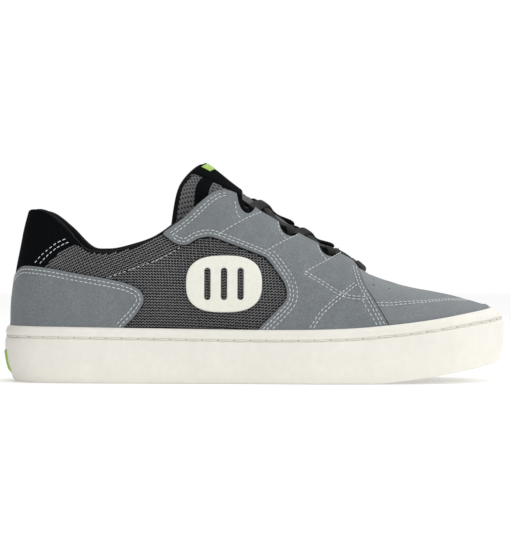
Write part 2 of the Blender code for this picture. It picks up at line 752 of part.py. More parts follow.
def ribbon(name, start, end, lift, collection, material, steps=10):
    """A flat lace across the tongue between two (along, across) places."""
    start, end = np.array(start), np.array(end)
    centre = []
    for t in np.linspace(0, 1, steps + 1):
        u, v = start + (end - start) * t
        centre.append(tongue(u, v, CLEAR + lift))
    outer, inner = [], []
    for i, p in enumerate(centre):
        ahead = centre[min(i + 1, steps)] - centre[max(i - 1, 0)]
        u, v = start + (end - start) * i / steps
        up = tongue(u, v, 0.001) - tongue(u, v)
        side = np.cross(up, ahead)
        side *= 0.5 * LACE_WIDTH / np.linalg.norm(side)
        up *= LACE_THICK / np.linalg.norm(up)
        inner.append([p - side, p + side])
        outer.append([p - side + up, p + side + up])
    return add_slab(name, outer, inner, collection, material)


def make_laces(shoe, cutters, material):
    """Flat lace over the tongue: a bar at the front eyelets, then three crossings behind it."""
    ribbon("lace_bar", (LACE_BAR, -LACE_REACH), (LACE_BAR, LACE_REACH),
           CLEAR + LACE_LIFT, shoe, material)
    for i in range(len(LACE_ROWS) - 1):
        low, high = LACE_ROWS[i] + LACE_SPLAY, LACE_ROWS[i + 1] - LACE_SPLAY
        under = ribbon(f"lace_crossing_{i + 1}", (low, -LACE_REACH), (high, LACE_REACH),
                       LACE_LIFT, shoe, material)
        over = ribbon(f"lace_over_{i + 1}", (high, -LACE_REACH), (low, LACE_REACH),
                      LACE_LIFT + 0.5 * LACE_THICK, cutters, material)
        cut(under, hide(over), "UNION")


def badge_faces():
    """Outer and inner points of the plate on the back of the heel."""
    around = 0.5 * BADGE_WIDTH / np.linalg.norm(sole_column(1)[1] - sole_column(0)[1])
    outer, inner = [], []
    for s in np.linspace(-around, around, 9):
        side = sole_column(s % ROUND)[:5]
        out = normal(s, 0.1) * (1, 1, 0)
        out /= np.linalg.norm(out)
        heights = [p[2] for p in side]
        middle = 0.5 * (side[1][2] + side[3][2])
        face = []
        for z in (middle - 0.5 * BADGE_HEIGHT, middle, middle + 0.5 * BADGE_HEIGHT):
            face.append(np.array([np.interp(z, heights, [p[k] for p in side]) for k in range(3)]))
        outer.append([p + out * (CLEAR + BADGE_THICK) for p in face])
        inner.append([p + out * CLEAR for p in face])
    return outer, inner


def make_badge(shoe, material):
    """A bare plate on the back of the heel."""
    return add_slab("heel_badge", *badge_faces(), shoe, material)


def punch_eyelets(upper, cutters):
    """Lace holes through the upper's facing, in the scallops and at the throat's front."""
    for i, centre in enumerate(SCALLOPS + (FRONT_EYELET,)):
        for side, s in (("lateral", centre), ("medial", mirrored(centre))):
            h = 1 - EYELET_INSET / rise(s)
            bm = bmesh.new()
            bmesh.ops.create_cone(bm, cap_ends=True, segments=10, radius1=0.5 * EYELET_BORE,
                                  radius2=0.5 * EYELET_BORE, depth=8 * WALL)
            pin = new_object(f"eyelet_{side}_{i}", bm, cutters, None)
            pin.location = place(last(s, h))
            pin.rotation_mode = "QUATERNION"
            pin.rotation_quaternion = Vector(normal(s, h)).to_track_quat("Z", "Y")
            cut(upper, hide(pin), "DIFFERENCE")


def main():
    for obj in list(bpy.data.objects):
        bpy.data.objects.remove(obj, do_unlink=True)
    shoe = bpy.data.collections.new("skateboarding_shoe")
    cutters = bpy.data.collections.new("cutters")
    for collection in (shoe, cutters):
        bpy.context.scene.collection.children.link(collection)
    suede = paint("grey_suede", (0.20, 0.215, 0.225), 0.9)
    mesh = paint("charcoal_mesh", (0.045, 0.045, 0.05), 0.85)
    black = paint("black_fabric", (0.008, 0.008, 0.01), 0.85)
    white = paint("off_white_rubber", (0.87, 0.84, 0.77), 0.6)
    lime = paint("lime_rubber", (0.45, 0.62, 0.12), 0.5)
    lining = paint("grey_lining", (0.16, 0.16, 0.17), 0.9)
    lace = paint("black_lace", (0.010, 0.010, 0.012), 0.8)

    make_outsole(shoe, cutters, white)
    make_insole(shoe, lining)
    upper = make_upper(shoe, mesh)
    punch_eyelets(upper, cutters)
    make_quarters(shoe, cutters, suede)
    make_heel(shoe, cutters, suede, black)
    make_vents(shoe, cutters, white)
    make_tongue(shoe, lining)
    make_label(shoe, black)
    make_laces(shoe, cutters, lace)
    make_badge(shoe, lime)


main()
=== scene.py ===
# %% [markdown]
# # A grey skateboarding shoe
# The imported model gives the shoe's pieces at their real size, in metres, with the toe at +X.
# Everything made here lies on those pieces, so the model is loaded before anything else.

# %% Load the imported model
import math
from collections import namedtuple

import bmesh
import bpy
import numpy as np
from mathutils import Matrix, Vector, geometry, kdtree


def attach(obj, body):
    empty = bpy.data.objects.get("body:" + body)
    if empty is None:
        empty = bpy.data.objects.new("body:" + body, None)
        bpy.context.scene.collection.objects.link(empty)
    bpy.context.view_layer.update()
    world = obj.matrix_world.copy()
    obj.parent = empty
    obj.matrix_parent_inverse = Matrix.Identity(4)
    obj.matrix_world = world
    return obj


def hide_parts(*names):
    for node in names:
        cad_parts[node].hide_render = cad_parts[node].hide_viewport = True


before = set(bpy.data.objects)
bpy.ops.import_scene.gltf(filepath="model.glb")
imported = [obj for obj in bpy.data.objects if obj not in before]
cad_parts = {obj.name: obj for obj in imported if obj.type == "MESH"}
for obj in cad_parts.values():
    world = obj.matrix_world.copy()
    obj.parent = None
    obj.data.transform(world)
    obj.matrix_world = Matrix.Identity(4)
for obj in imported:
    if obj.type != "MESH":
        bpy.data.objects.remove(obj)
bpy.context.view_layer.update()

# %% [markdown]
# ## The last
# A shoe is pulled over a last, and every piece of the upper follows that one form.
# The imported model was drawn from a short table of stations, from the heel round to the toe.
# The same table is repeated here, so that each new piece lies exactly where the solid one does.
# A network of points could be read back from the meshes instead, but they are coarse.

# %% Sizes of the shoe
LENGTH = 0.2965
BALL_WIDTH = 0.1060
INSTEP_HEIGHT = 0.1125
HEEL_HEIGHT = 0.1015
CLEAR = 0.0003
WALL = 0.0020
COLLAR_PAD = 0.0060
VAMP_HOLLOW = 0.0014
SCALLOP_DEPTH = 0.0085
SCALLOP_WIDTH = 0.0125
EYELET_INSET = 0.0052
FACING_STEP = 0.0012
RIM_HEIGHT = 0.0330
SOLE_WALL = 0.0040
TOE_WALL = 0.0088
HEEL_FLOOR = 0.0150
BALL_FLOOR = 0.0110
TOE_SPRING = 0.0123
RIM_STRIP = 0.0062
STITCH_GROOVE = 0.0013
HEEL_TUCK = 0.0052
TOE_TUCK = 0.0018
TREAD_DEPTH = 0.0020
TREAD_GROOVE = 0.0032
TREAD_BORDER = 0.0110
INSOLE = 0.0045
TONGUE_GAP = 0.0014
TONGUE_PAD = 0.0095
TONGUE_TOE = 0.0040
LACE_WIDTH = 0.0070
LACE_THICK = 0.0016
BADGE_WIDTH = 0.0240
BADGE_HEIGHT = 0.0140
BADGE_THICK = 0.0010
ROUND = 30
TOE = 15
print("length, ball width and instep:", LENGTH, BALL_WIDTH, INSTEP_HEIGHT, "m")

# %% Stations from the heel to the toe
Station = namedtuple(
    "Station",
    "foot_x foot_y swell_x swell_y swell_z edge_x edge_y edge_z front square hollow")
LATERAL = (
    Station(0.0150, 0.000, 0.0085, 0.000, 0.540, 0.049, 0.000, 0.985, 0.0, 1.0, 0.0),
    Station(0.0290, -0.165, 0.0220, -0.178, 0.540, 0.061, -0.128, 0.992, 0.0, 1.0, 0.0),
    Station(0.0640, -0.268, 0.0600, -0.288, 0.540, 0.089, -0.212, 0.972, 0.0, 1.0, 0.0),
    Station(0.1280, -0.322, 0.1280, -0.352, 0.515, 0.139, -0.265, 0.892, 0.0, 1.0, 0.0),
    Station(0.2090, -0.336, 0.2090, -0.376, 0.530, 0.209, -0.292, 0.776, 0.0, 1.0, 0.0),
    Station(0.2900, -0.345, 0.2900, -0.388, 0.498, 0.283, -0.297, 0.742, 1.0, 1.0, 0.0),
    Station(0.3680, -0.359, 0.3640, -0.412, 0.550, 0.351, -0.268, 0.850, 1.0, 1.0, 0.0),
    Station(0.4550, -0.382, 0.4520, -0.446, 0.604, 0.434, -0.176, 1.000, 1.0, 1.0, 0.0),
    Station(0.5400, -0.411, 0.5330, -0.474, 0.551, 0.513, -0.152, 0.880, 1.0, 1.0, 0.0),
    Station(0.6240, -0.440, 0.6140, -0.492, 0.498, 0.600, -0.137, 0.747, 1.0, 1.1, 0.0),
    Station(0.7080, -0.450, 0.6950, -0.484, 0.462, 0.674, -0.120, 0.652, 1.0, 1.2, 0.1),
    Station(0.7900, -0.444, 0.7740, -0.470, 0.430, 0.703, -0.096, 0.598, 1.0, 1.6, 0.4),
    Station(0.8620, -0.408, 0.8500, -0.434, 0.408, 0.712, -0.066, 0.578, 1.0, 2.3, 0.7),
    Station(0.9170, -0.318, 0.9120, -0.342, 0.405, 0.7145, -0.042, 0.571, 1.0, 3.2, 0.9),
    Station(0.9520, -0.178, 0.9560, -0.190, 0.412, 0.7155, -0.020, 0.569, 1.0, 4.2, 1.0),
    Station(0.9670, 0.015, 0.9795, 0.015, 0.420, 0.7160, 0.000, 0.568, 1.0, 5.0, 1.0),
)
Inner = namedtuple("Inner", "foot_y swell_y edge_y edge_z")
MEDIAL = (
    Inner(0.160, 0.174, 0.128, 0.992), Inner(0.256, 0.276, 0.210, 0.972),
    Inner(0.302, 0.332, 0.262, 0.898), Inner(0.312, 0.350, 0.287, 0.800),
    Inner(0.314, 0.358, 0.290, 0.768), Inner(0.318, 0.372, 0.264, 0.880),
    Inner(0.330, 0.400, 0.176, 1.035), Inner(0.370, 0.436, 0.152, 0.918),
    Inner(0.422, 0.472, 0.137, 0.780), Inner(0.460, 0.492, 0.120, 0.676),
    Inner(0.466, 0.488, 0.100, 0.610), Inner(0.430, 0.448, 0.070, 0.582),
    Inner(0.340, 0.358, 0.045, 0.572), Inner(0.208, 0.220, 0.022, 0.569),
)
RIM_LINE = (
    (-0.10, 1.000), (0.00, 1.000), (0.30, 0.962), (0.52, 0.938), (0.66, 0.955),
    (0.76, 1.022), (0.84, 1.112), (0.92, 1.240), (0.98, 1.340), (1.06, 1.440),
)
SCALLOPS = (7.60, 8.60, 9.58)
FRONT_EYELET = 10.80
print("stations on the outer side:", len(LATERAL))

# %% Curves through tables


def catmull(a, b, c, d, t):
    """A smooth curve from b to c, with a and d as its neighbours."""
    return 0.5 * (2 * b + (c - a) * t + (2 * a - 5 * b + 4 * c - d) * t * t
                  + (3 * b - a - 3 * c + d) * t ** 3)


def smooth(points, steps):
    """A Catmull-Rom curve through the points, ends kept."""
    p = np.asarray(points, float)
    p = np.vstack([2 * p[0] - p[1], p, 2 * p[-1] - p[-2]])
    out = [catmull(p[i - 1], p[i], p[i + 1], p[i + 2], t)
           for i in range(1, len(p) - 2) for t in np.arange(steps) / steps]
    return np.array(out + [p[-2]])


def blend(value, low, high):
    """0 below low, 1 above high, smooth between."""
    t = np.clip((value - low) / (high - low), 0.0, 1.0)
    return t * t * (3 - 2 * t)


def unit(vectors):
    """The same directions with a length of one."""
    return vectors / np.linalg.norm(vectors, axis=-1, keepdims=True)


def run_along(line):
    """Distance along a line of points, from 0 at its start."""
    return np.concatenate([[0], np.cumsum(np.linalg.norm(np.diff(line, axis=0), axis=1))])


def read_at(at, run, line):
    """The line's points at some places of its run."""
    return np.column_stack([np.interp(at, run, column) for column in np.asarray(line).T])


RIM_CURVE = smooth(RIM_LINE[:-1], 24)


def rim_height(x):
    """Top of the cup sole at a place along the shoe."""
    return RIM_HEIGHT * np.interp(x / LENGTH, RIM_CURVE[:, 0], RIM_CURVE[:, 1])


def ground(x):
    """Underside of the sole: flat on the floor, then toe spring."""
    start = 0.725 * LENGTH
    return TOE_SPRING * (np.maximum(x - start, 0.0) / (LENGTH - start)) ** 1.4


def floor_height(x):
    """Top of the sole's floor inside the cup."""
    drop = blend(x / LENGTH, 0.30, 0.62)
    return HEEL_FLOOR + (BALL_FLOOR - HEEL_FLOOR) * drop + 0.5 * ground(x)


print("rim at heel, waist and toe:", [round(float(rim_height(s * LENGTH)) * 1000, 1) for s in (0, 0.5, 1)])

# %% The last as a network of points


def control_row(r, foot_y, swell_y, edge_y, edge_z):
    """Foot, swell and edge of one station in metres, with its weight and hollow."""
    high = HEEL_HEIGHT + (INSTEP_HEIGHT - HEEL_HEIGHT) * r.front
    foot_x = r.foot_x * LENGTH
    return (foot_x, foot_y * BALL_WIDTH, floor_height(foot_x) + CLEAR,
            r.swell_x * LENGTH, swell_y * BALL_WIDTH, r.swell_z * high,
            r.edge_x * LENGTH, edge_y * BALL_WIDTH, edge_z * high,
            r.square, r.hollow * VAMP_HOLLOW)


CONTROL = np.array(
    [control_row(r, r.foot_y, r.swell_y, r.edge_y, r.edge_z) for r in LATERAL]
    + [control_row(r, *m) for r, m in zip(reversed(LATERAL[1:-1]), reversed(MEDIAL))])
PER_STATION = 20
LEVELS = 160
HOLLOW_AT, HOLLOW_WIDE = 0.80, 0.12


def profile(station):
    """Points up the outside of the upper at one station, evenly spaced, and their length."""
    i = math.floor(station)
    row = catmull(*(CONTROL[(i + k) % ROUND] for k in (-1, 0, 1, 2)), station - i)
    foot, swell, edge, weight, hollow = row[0:3], row[3:6], row[6:9], row[9], row[10]
    t = np.linspace(0, 1, 61)[:, None]
    a, b, c = (1 - t) ** 2, 2 * weight * t * (1 - t), t ** 2
    line = (a * foot + b * swell + c * edge) / (a + b + c)
    run = run_along(line)
    line[:, 2] -= hollow * np.exp(-((run / run[-1] - HOLLOW_AT) / HOLLOW_WIDE) ** 2)
    return read_at(np.linspace(0, run[-1], LEVELS + 1), run, line), run[-1]


# How far the toe box has settled below the last, by distance along the shoe, in metres.
TOE_SETTLE = (
    (0.700, 0.0), (0.729, 0.0006), (0.762, 0.0014), (0.783, 0.0016), (0.820, 0.0024), (0.858, 0.0027),
    (0.893, 0.0026), (0.928, 0.0027), (0.944, 0.0026), (0.957, 0.0023), (0.965, 0.0017), (0.972, 0.0006),
    (0.978, 0.0),
)
SETTLED_ABOVE = ((0.930, 0.0065), (0.955, 0.0044), (0.966, 0.0034))


def settled(net):
    """The top of the toe box a little lower, its sides as they were."""
    x = net[..., 0] / LENGTH
    down, full = (np.interp(x, *np.array(table).T) for table in (TOE_SETTLE, SETTLED_ABOVE))
    above_rim = net[..., 2] - rim_height(net[..., 0])
    net[..., 2] -= down * blend(above_rim, 0.0004, full)
    return net


NET, RISE = (np.array(v) for v in zip(*(profile(i / PER_STATION) for i in range(ROUND * PER_STATION))))
NET = settled(NET)
ALONG = np.roll(NET, -1, axis=0) - np.roll(NET, 1, axis=0)
NORMALS = unit(np.cross(ALONG, np.gradient(NET, axis=1)))
print("last network", NET.shape, "with profiles from", RISE.min().round(4), "to", RISE.max().round(4), "m")

# %% Reading the last


def pick(table, station, height):
    """The table's value between its four nearest points."""
    s = np.asarray(station, float) * PER_STATION
    h = np.clip(np.asarray(height, float), 0, 1) * LEVELS
    i, j = np.floor(s).astype(int), np.minimum(np.floor(h).astype(int), LEVELS - 1)
    fs, fh = (s - i)[..., None], (h - j)[..., None]
    i0, i1 = i % len(table), (i + 1) % len(table)
    return ((table[i0, j] * (1 - fs) + table[i1, j] * fs) * (1 - fh)
            + (table[i0, j + 1] * (1 - fs) + table[i1, j + 1] * fs) * fh)


def rise(station):
    """Length of the upper's outside from foot to edge."""
    return np.interp(np.asarray(station) % ROUND, np.arange(len(RISE) + 1) / PER_STATION,
                     np.append(RISE, RISE[0]))


def normal(station, height):
    """Direction straight out of the upper."""
    return unit(pick(NORMALS, station, height))


def last(station, height, offset=0.0):
    """The outside of the upper, moved outward by offset. Past the edge it runs on straight."""
    station, height = np.broadcast_arrays(np.asarray(station, float), np.asarray(height, float))
    over = np.where(height > 1, height - 1, np.minimum(height, 0))[..., None]
    near = np.clip(height, 0, 1)
    up, down = np.minimum(near + 0.02, 1), np.maximum(near - 0.02, 0)
    slope = (pick(NET, station, up) - pick(NET, station, down)) / (up - down)[..., None]
    away = np.asarray(offset, float)
    away = away[..., None] if away.ndim else away
    return pick(NET, station, height) + over * slope + away * normal(station, height)


def rim_levels():
    """Height on each profile where the sole's rim lies."""
    levels = []
    for line in NET:
        under = rim_height(line[:, 0]) - line[:, 2]
        j = int(np.argmax(under < 0))
        levels.append((j - 1 + under[j - 1] / (under[j - 1] - under[j])) / LEVELS)
    return np.array(levels + levels[:1])


RIM = rim_levels()


def rim_at(station):
    """Height on the last where the sole's rim lies at a station."""
    return np.interp(np.asarray(station) % ROUND, np.arange(len(RIM)) / PER_STATION, RIM)


def outer_side(station):
    """The station that lies opposite on the outer side, from 0 to 15."""
    s = np.asarray(station) % ROUND
    return np.minimum(s, ROUND - s)


def pad(station):
    """Thickness of the collar's foam, gone before the throat."""
    return COLLAR_PAD * (1 - blend(outer_side(station), 5.6, 7.0))


def wall(station, height):
    """Thickness of the upper: thin below, padded towards the collar."""
    return WALL + pad(station) * blend(height, 0.45, 0.85)


# How far the collar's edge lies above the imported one, by station, in metres.
COLLAR_TRIM = (
    (0.0, 0.0010), (1.4, 0.0014), (2.2, 0.0010), (2.8, -0.0012), (3.2, -0.0046), (3.5, -0.0058),
    (3.9, -0.0025), (4.4, -0.0006), (5.0, -0.0010), (5.5, -0.0006), (6.0, 0.0),
)
TRIM_CURVE = smooth(COLLAR_TRIM, 12)


def collar_trim(station):
    """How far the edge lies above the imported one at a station."""
    return np.interp(outer_side(station), TRIM_CURVE[:, 0], TRIM_CURVE[:, 1])


def edge_at(station):
    """Height of the upper's edge: trimmed at the collar, and a step down behind the facings."""
    step = FACING_STEP * blend(outer_side(station), 6.4, 7.0)
    return 1 + (collar_trim(station) - step) / rise(station)


print("rim level at heel, waist and toe:", rim_at([0, 6, 15]).round(3))

# %% [markdown]
# ## The sole's side
# The side of the cup sole is a short list of steps outward from the upper: bottom edge,
# bulge, stitch groove and rim strip. The middle of its footprint is the origin of the model.

# %% Columns of the sole


def sole_out(x):
    """How far the sole's side stands out from the upper."""
    return SOLE_WALL + (TOE_WALL - SOLE_WALL) * blend(x / LENGTH, 0.80, 0.97)


def flat_out(station, height):
    """Level direction away from the upper."""
    return unit(normal(station, height) * (1, 1, 0))


def sole_steps(station):
    """Seat of the rim, direction outward, and the steps of the side as heights and distances."""
    rim = rim_at(station)
    seat = last(station, rim, CLEAR)
    out = flat_out(station, 0.5 * rim)
    x = seat[..., 0]
    top, low = rim_height(x), ground(x + sole_out(x) * out[..., 0])
    thick = sole_out(x)
    tuck = HEEL_TUCK + (TOE_TUCK - HEEL_TUCK) * x / LENGTH
    groove = top - RIM_STRIP
    bumper = thick - SOLE_WALL
    heights = (low, low + 0.10 * (groove - low), low + 0.40 * (groove - low),
               low + 0.80 * (groove - low), groove - 0.4 * STITCH_GROOVE, groove,
               groove + 0.8 * STITCH_GROOVE, top - 0.28 * RIM_STRIP, top)
    away = (thick - tuck, thick - 0.80 * tuck, thick - 0.30 * tuck, thick,
            thick - 0.1 * STITCH_GROOVE, thick - STITCH_GROOVE,
            thick - 0.8 * STITCH_GROOVE - 0.15 * bumper,
            thick - STITCH_GROOVE - 0.5 * bumper, thick - 0.6 * SOLE_WALL - 0.8 * bumper)
    return seat, out, np.stack(heights, axis=-1), np.stack(away, axis=-1)


def sole_points(station, heights, away):
    """Points on the sole's side from heights and distances outward."""
    seat, out, _, _ = sole_steps(station)
    flat = seat[..., None, :] + out[..., None, :] * away[..., None]
    return np.concatenate([flat[..., :2], heights[..., None]], axis=-1)


def badge_face(count):
    """Points on the back of the heel where the small plate lies, with the direction outward."""
    _, _, heights, away = sole_steps(np.array([0.0, 1.0]))
    ends = sole_points(np.array([0.0, 1.0]), heights, away)[:, 1]
    around = 0.5 * BADGE_WIDTH / np.linalg.norm(ends[1] - ends[0])
    s = np.linspace(-around, around, count) % ROUND
    _, _, heights, away = sole_steps(s)
    side = sole_points(s, heights, away)[:, :5]
    middle = 0.5 * (side[:, 1, 2] + side[:, 3, 2])
    levels = middle[:, None] + BADGE_HEIGHT * np.linspace(-0.5, 0.5, 9)
    face = np.array([read_at(row, line[:, 2], line) for line, row in zip(side, levels)])
    return face, flat_out(s, 0.1)


def all_round(count):
    """Stations spread evenly all round the shoe."""
    return np.arange(count) * ROUND / count


def footprint_middle():
    """Middle of the sole's box, with the small plate on the heel."""
    s = np.arange(ROUND * 4) / 4
    _, _, heights, away = sole_steps(s)
    spots = sole_points(s, heights, away)[..., :2].reshape(-1, 2)
    face, out = badge_face(9)
    plate = (face + out[:, None] * (CLEAR + BADGE_THICK))[..., :2].reshape(-1, 2)
    spots = np.vstack([spots, plate])
    return 0.5 * (spots.min(axis=0) + spots.max(axis=0))


ORIGIN = np.append(footprint_middle(), 0.0)
print("origin from the heel's end:", (ORIGIN[:2] * 1000).round(2), "mm")

# %% [markdown]
# ## Meshes from arrays
# Most pieces are built from arrays of points, so one helper turns points and faces into an
# object, moves it from the shoe's own frame to the model's, and makes it ride on the body.

# %% Helpers for meshes
COLLECTION = bpy.context.scene.collection


def make_piece(name, points, faces, material, replaces=(), uv=None):
    """An object from points in the shoe's frame, riding on the body. It prints its size."""
    mesh = bpy.data.meshes.new(name)
    mesh.from_pydata((np.asarray(points) - ORIGIN).tolist(), [], [list(map(int, f)) for f in faces])
    mesh.validate()
    mesh.shade_smooth()
    mesh.materials.append(material)
    if uv is not None:
        layer = mesh.uv_layers.new(name="layout")
        corners = np.empty(len(mesh.loops), dtype=np.int64)
        mesh.loops.foreach_get("vertex_index", corners)
        layer.data.foreach_set("uv", np.asarray(uv, float)[corners].ravel())
    piece = bpy.data.objects.new(name, mesh)
    COLLECTION.objects.link(piece)
    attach(piece, "root")
    if replaces:
        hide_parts(*replaces)
    print(name, sum(len(p.vertices) - 2 for p in mesh.polygons), "triangles")
    return piece


def grid_faces(rows, columns, loop_rows=False, loop_columns=False):
    """Quads over a grid of points, with its first points turning outward."""
    i = np.arange(rows if loop_rows else rows - 1)
    j = np.arange(columns if loop_columns else columns - 1)
    i, j = np.meshgrid(i, j, indexing="ij")
    a, b = i * columns + j, i * columns + (j + 1) % columns
    k = (i + 1) % rows
    c, d = k * columns + (j + 1) % columns, k * columns + j
    return np.stack([a, b, c, d], axis=-1).reshape(-1, 4)


print("meshes in the packed model:", len(bpy.data.meshes))

# %% [markdown]
# ## Camera, floor and light
# The photograph looks level at the outer side, from far enough that the sole's line is straight.
# A long lens at 1.2 m gives that. A broad lamp above and one beyond the toe stand for a light
# tent, and a pale floor with a white surround keeps the shadows soft.

# %% Camera
CAMERA_DISTANCE = 1.2
CAMERA_HEIGHT = 0.0615
CAMERA_ALONG = 0.148
VIEW_TALL = 0.3287
SENSOR = 36.0

scene = bpy.context.scene
camera = bpy.data.objects.new("camera", bpy.data.cameras.new("camera"))
COLLECTION.objects.link(camera)
camera.data.sensor_width = SENSOR
camera.data.lens = SENSOR * CAMERA_DISTANCE / VIEW_TALL
camera.location = (CAMERA_ALONG - ORIGIN[0], -CAMERA_DISTANCE - ORIGIN[1], CAMERA_HEIGHT)
camera.rotation_euler = (math.radians(90), 0, 0)
scene.camera = camera
scene.view_settings.view_transform = "Standard"
print("lens", round(camera.data.lens, 1), "mm")

# %% [markdown]
# ## Nodes in few words
# A material is a small graph: noises and ramps feed the sockets of one shader. Built line by
# line it fills pages, and the nodes could also be placed by hand in the editor. A few helpers that
# add a node with its values keep each finish as short as its recipe.

# %% Helpers for nodes


def node_material(name):
    """A new material with its nodes and its shader."""
    material = bpy.data.materials.new(name)
    material.use_nodes = True
    nodes = material.node_tree.nodes
    return material, nodes, nodes["Principled BSDF"]


def feed(node, **values):
    """Sockets of a node get a value of their own or a link. In their names _ stands for a space."""
    for name, value in values.items():
        socket = node.inputs[name.replace("_", " ")]
        if isinstance(value, bpy.types.NodeSocket):
            node.id_data.links.new(value, socket)
        else:
            socket.default_value = value


def add_node(nodes, kind, output, **values):
    """One output of a new node that is fed with the values."""
    node = nodes.new(kind)
    feed(node, **values)
    return node.outputs[output]


def add_ramp(nodes, source, dark, light, low=0.0, high=1.0):
    """Colours from dark to light by a source."""
    ramp = nodes.new("ShaderNodeValToRGB")
    for stop, place, colour in zip(ramp.color_ramp.elements, (low, high), (dark, light)):
        stop.position = place
        stop.color = (*colour, 1)
    feed(ramp, Fac=source)
    return ramp.outputs["Color"]


def add_mix(nodes, share, first, second, way="MIX"):
    """Two colours mixed by a share."""
    mix = nodes.new("ShaderNodeMix")
    mix.data_type = "RGBA"
    mix.blend_type = way
    feed(mix, Factor=share, A=first, B=second)
    return mix.outputs["Result"]


def maths(nodes, operation, *values):
    """The result of a math node, fed by sockets and by numbers."""
    node = nodes.new("ShaderNodeMath")
    node.operation = operation
    for socket, value in zip(node.inputs, values):
        if isinstance(value, (int, float)):
            socket.default_value = value
        else:
            node.id_data.links.new(value, socket)
    return node.outputs[0]


def add_bumps(nodes, shader, heights, depths):
    """Bumps laid one on the other, with their depths in metres."""
    below = {}
    for height, depth in zip(heights, depths):
        below = {"Normal": add_node(nodes, "ShaderNodeBump", "Normal", Strength=1.0, Distance=depth,
                                    Height=height, **below)}
    feed(shader, **below)


print("materials so far:", len(bpy.data.materials))

# %% [markdown]
# ## Floor, surround and lamps
# In a light tent the product stands on a white sheet that runs up behind it. A curved sheet
# could be modelled, but a flat floor that glows faintly and a white surround look the same here.

# %% Floor, surround and lamps
FLOOR_SIZE = 12.0
FLOOR_GLOW = 0.24
SURROUND = (1.0, 1.0, 1.0, 1.0)
# Axis of the surround, from where to where it brightens, and its strength at the dark end.
SURROUND_FADES = ((0, -0.8, -0.24, 0.0), (1, -1.0, -0.10, 0.94))
# Name, place, aimed at, size and power of each lamp.
LAMPS = (
    ("lamp_above", (0.16, -0.15, 1.30), (0, 0, 0.04), (1.4, 1.0), 5.4),
    ("lamp_toe", (0.90, -1.00, 0.55), (0, 0, 0.04), (0.7, 0.9), 0.5),
)


def make_floor():
    """A wide pale floor that glows a little, so that it fades into the surround."""
    material, nodes, shader = node_material("floor")
    noise = add_node(nodes, "ShaderNodeTexNoise", "Fac", Scale=2.0)
    feed(shader, Base_Color=add_ramp(nodes, noise, (0.86, 0.86, 0.86), (0.90, 0.90, 0.90)), Roughness=0.9,
         Specular_IOR_Level=0.2, Emission_Color=SURROUND, Emission_Strength=FLOOR_GLOW)
    bm = bmesh.new()
    bmesh.ops.create_grid(bm, x_segments=8, y_segments=8, size=0.5 * FLOOR_SIZE)
    mesh = bpy.data.meshes.new("floor")
    bm.to_mesh(mesh)
    bm.free()
    mesh.materials.append(material)
    floor = bpy.data.objects.new("floor", mesh)
    floor.location.z = -0.0002
    COLLECTION.objects.link(floor)


def add_lamp(name, place, aim, size, power):
    """A broad lamp that looks at a place."""
    lamp = bpy.data.objects.new(name, bpy.data.lights.new(name, "AREA"))
    lamp.data.shape = "RECTANGLE"
    lamp.data.size, lamp.data.size_y = size
    lamp.data.energy = power
    lamp.location = place
    lamp.rotation_euler = (Vector(aim) - Vector(place)).to_track_quat("-Z", "Y").to_euler()
    COLLECTION.objects.link(lamp)


def make_surround():
    """An even white surround, a little darker towards the heel and towards the front."""
    world = bpy.data.worlds.new("surround")
    world.use_nodes = True
    nodes = world.node_tree.nodes
    where = add_node(nodes, "ShaderNodeTexCoord", "Generated")
    split = nodes.new("ShaderNodeSeparateXYZ")
    feed(split, Vector=where)
    shades = [add_node(nodes, "ShaderNodeMapRange", "Result", Value=split.outputs[axis], From_Min=low,
                       From_Max=high, To_Min=dark, To_Max=1.0)
              for axis, low, high, dark in SURROUND_FADES]
    feed(nodes["Background"], Color=SURROUND, Strength=maths(nodes, "MULTIPLY", *shades))
    scene.world = world


make_floor()
for lamp in LAMPS:
    add_lamp(*lamp)
make_surround()

# %% [markdown]
# ## Finishes
# Suede is a nap: short fibres that lie in patches, a little lighter where they were brushed.
# Two sizes of noise give that, the fine one also as bump, and sheen gives the soft bright rim.
# Rubber is smooth with a faint moulded grain; thread and binding have a twist or a ribbed weave, which here
# is only a finer grain.
# One helper makes each of them from a few numbers, so all the finishes stay easy to compare.

# %% Helper for finishes
BROAD_SHARE = 0.55


def add_noise(nodes, where, scale, detail, **values):
    """A noise laid in the piece's own space."""
    return add_node(nodes, "ShaderNodeTexNoise", "Fac", Vector=where, Scale=scale, Detail=detail, **values)


def vary(nodes, source, low, high):
    """A value that follows the grain from low to high."""
    return add_node(nodes, "ShaderNodeMapRange", "Result", Value=source, To_Min=low, To_Max=high)


def finish(name, dark, light, roughness, scales, bumps, sheen=0.0, coat=0.0, patch=0.0, spec=0.5,
           patch_colour=None, patch_scale=38.0):
    """A finish with noise of two scales (per metre) in its colour and its bump (in metres)."""
    material, nodes, shader = node_material(name)
    where = add_node(nodes, "ShaderNodeTexCoord", "Object")
    grains = [add_noise(nodes, where, scale, detail, Roughness=0.6)
              for scale, detail in zip(scales, (4.0, 3.0))]
    fine_part = maths(nodes, "MULTIPLY", grains[1], 1 - BROAD_SHARE)
    both = maths(nodes, "MULTIPLY_ADD", grains[0], BROAD_SHARE, fine_part)
    colour = add_ramp(nodes, both, dark, light, 0.34, 0.66)
    if patch:
        broad = add_noise(nodes, where, patch_scale, 4.0)
        share = add_node(nodes, "ShaderNodeMapRange", "Result", Value=broad, From_Min=0.3, From_Max=0.7,
                         To_Min=0.0, To_Max=patch)
        colour = add_mix(nodes, share, colour, (*(patch_colour or light), 1))
    add_bumps(nodes, shader, grains, bumps)
    rough = vary(nodes, grains[0], roughness - 0.08, min(roughness + 0.08, 1.0))
    feed(shader, Base_Color=colour, Roughness=rough, Specular_IOR_Level=spec, Sheen_Weight=sheen,
         Sheen_Roughness=0.45, Coat_Weight=coat, Coat_Roughness=0.35)
    return material


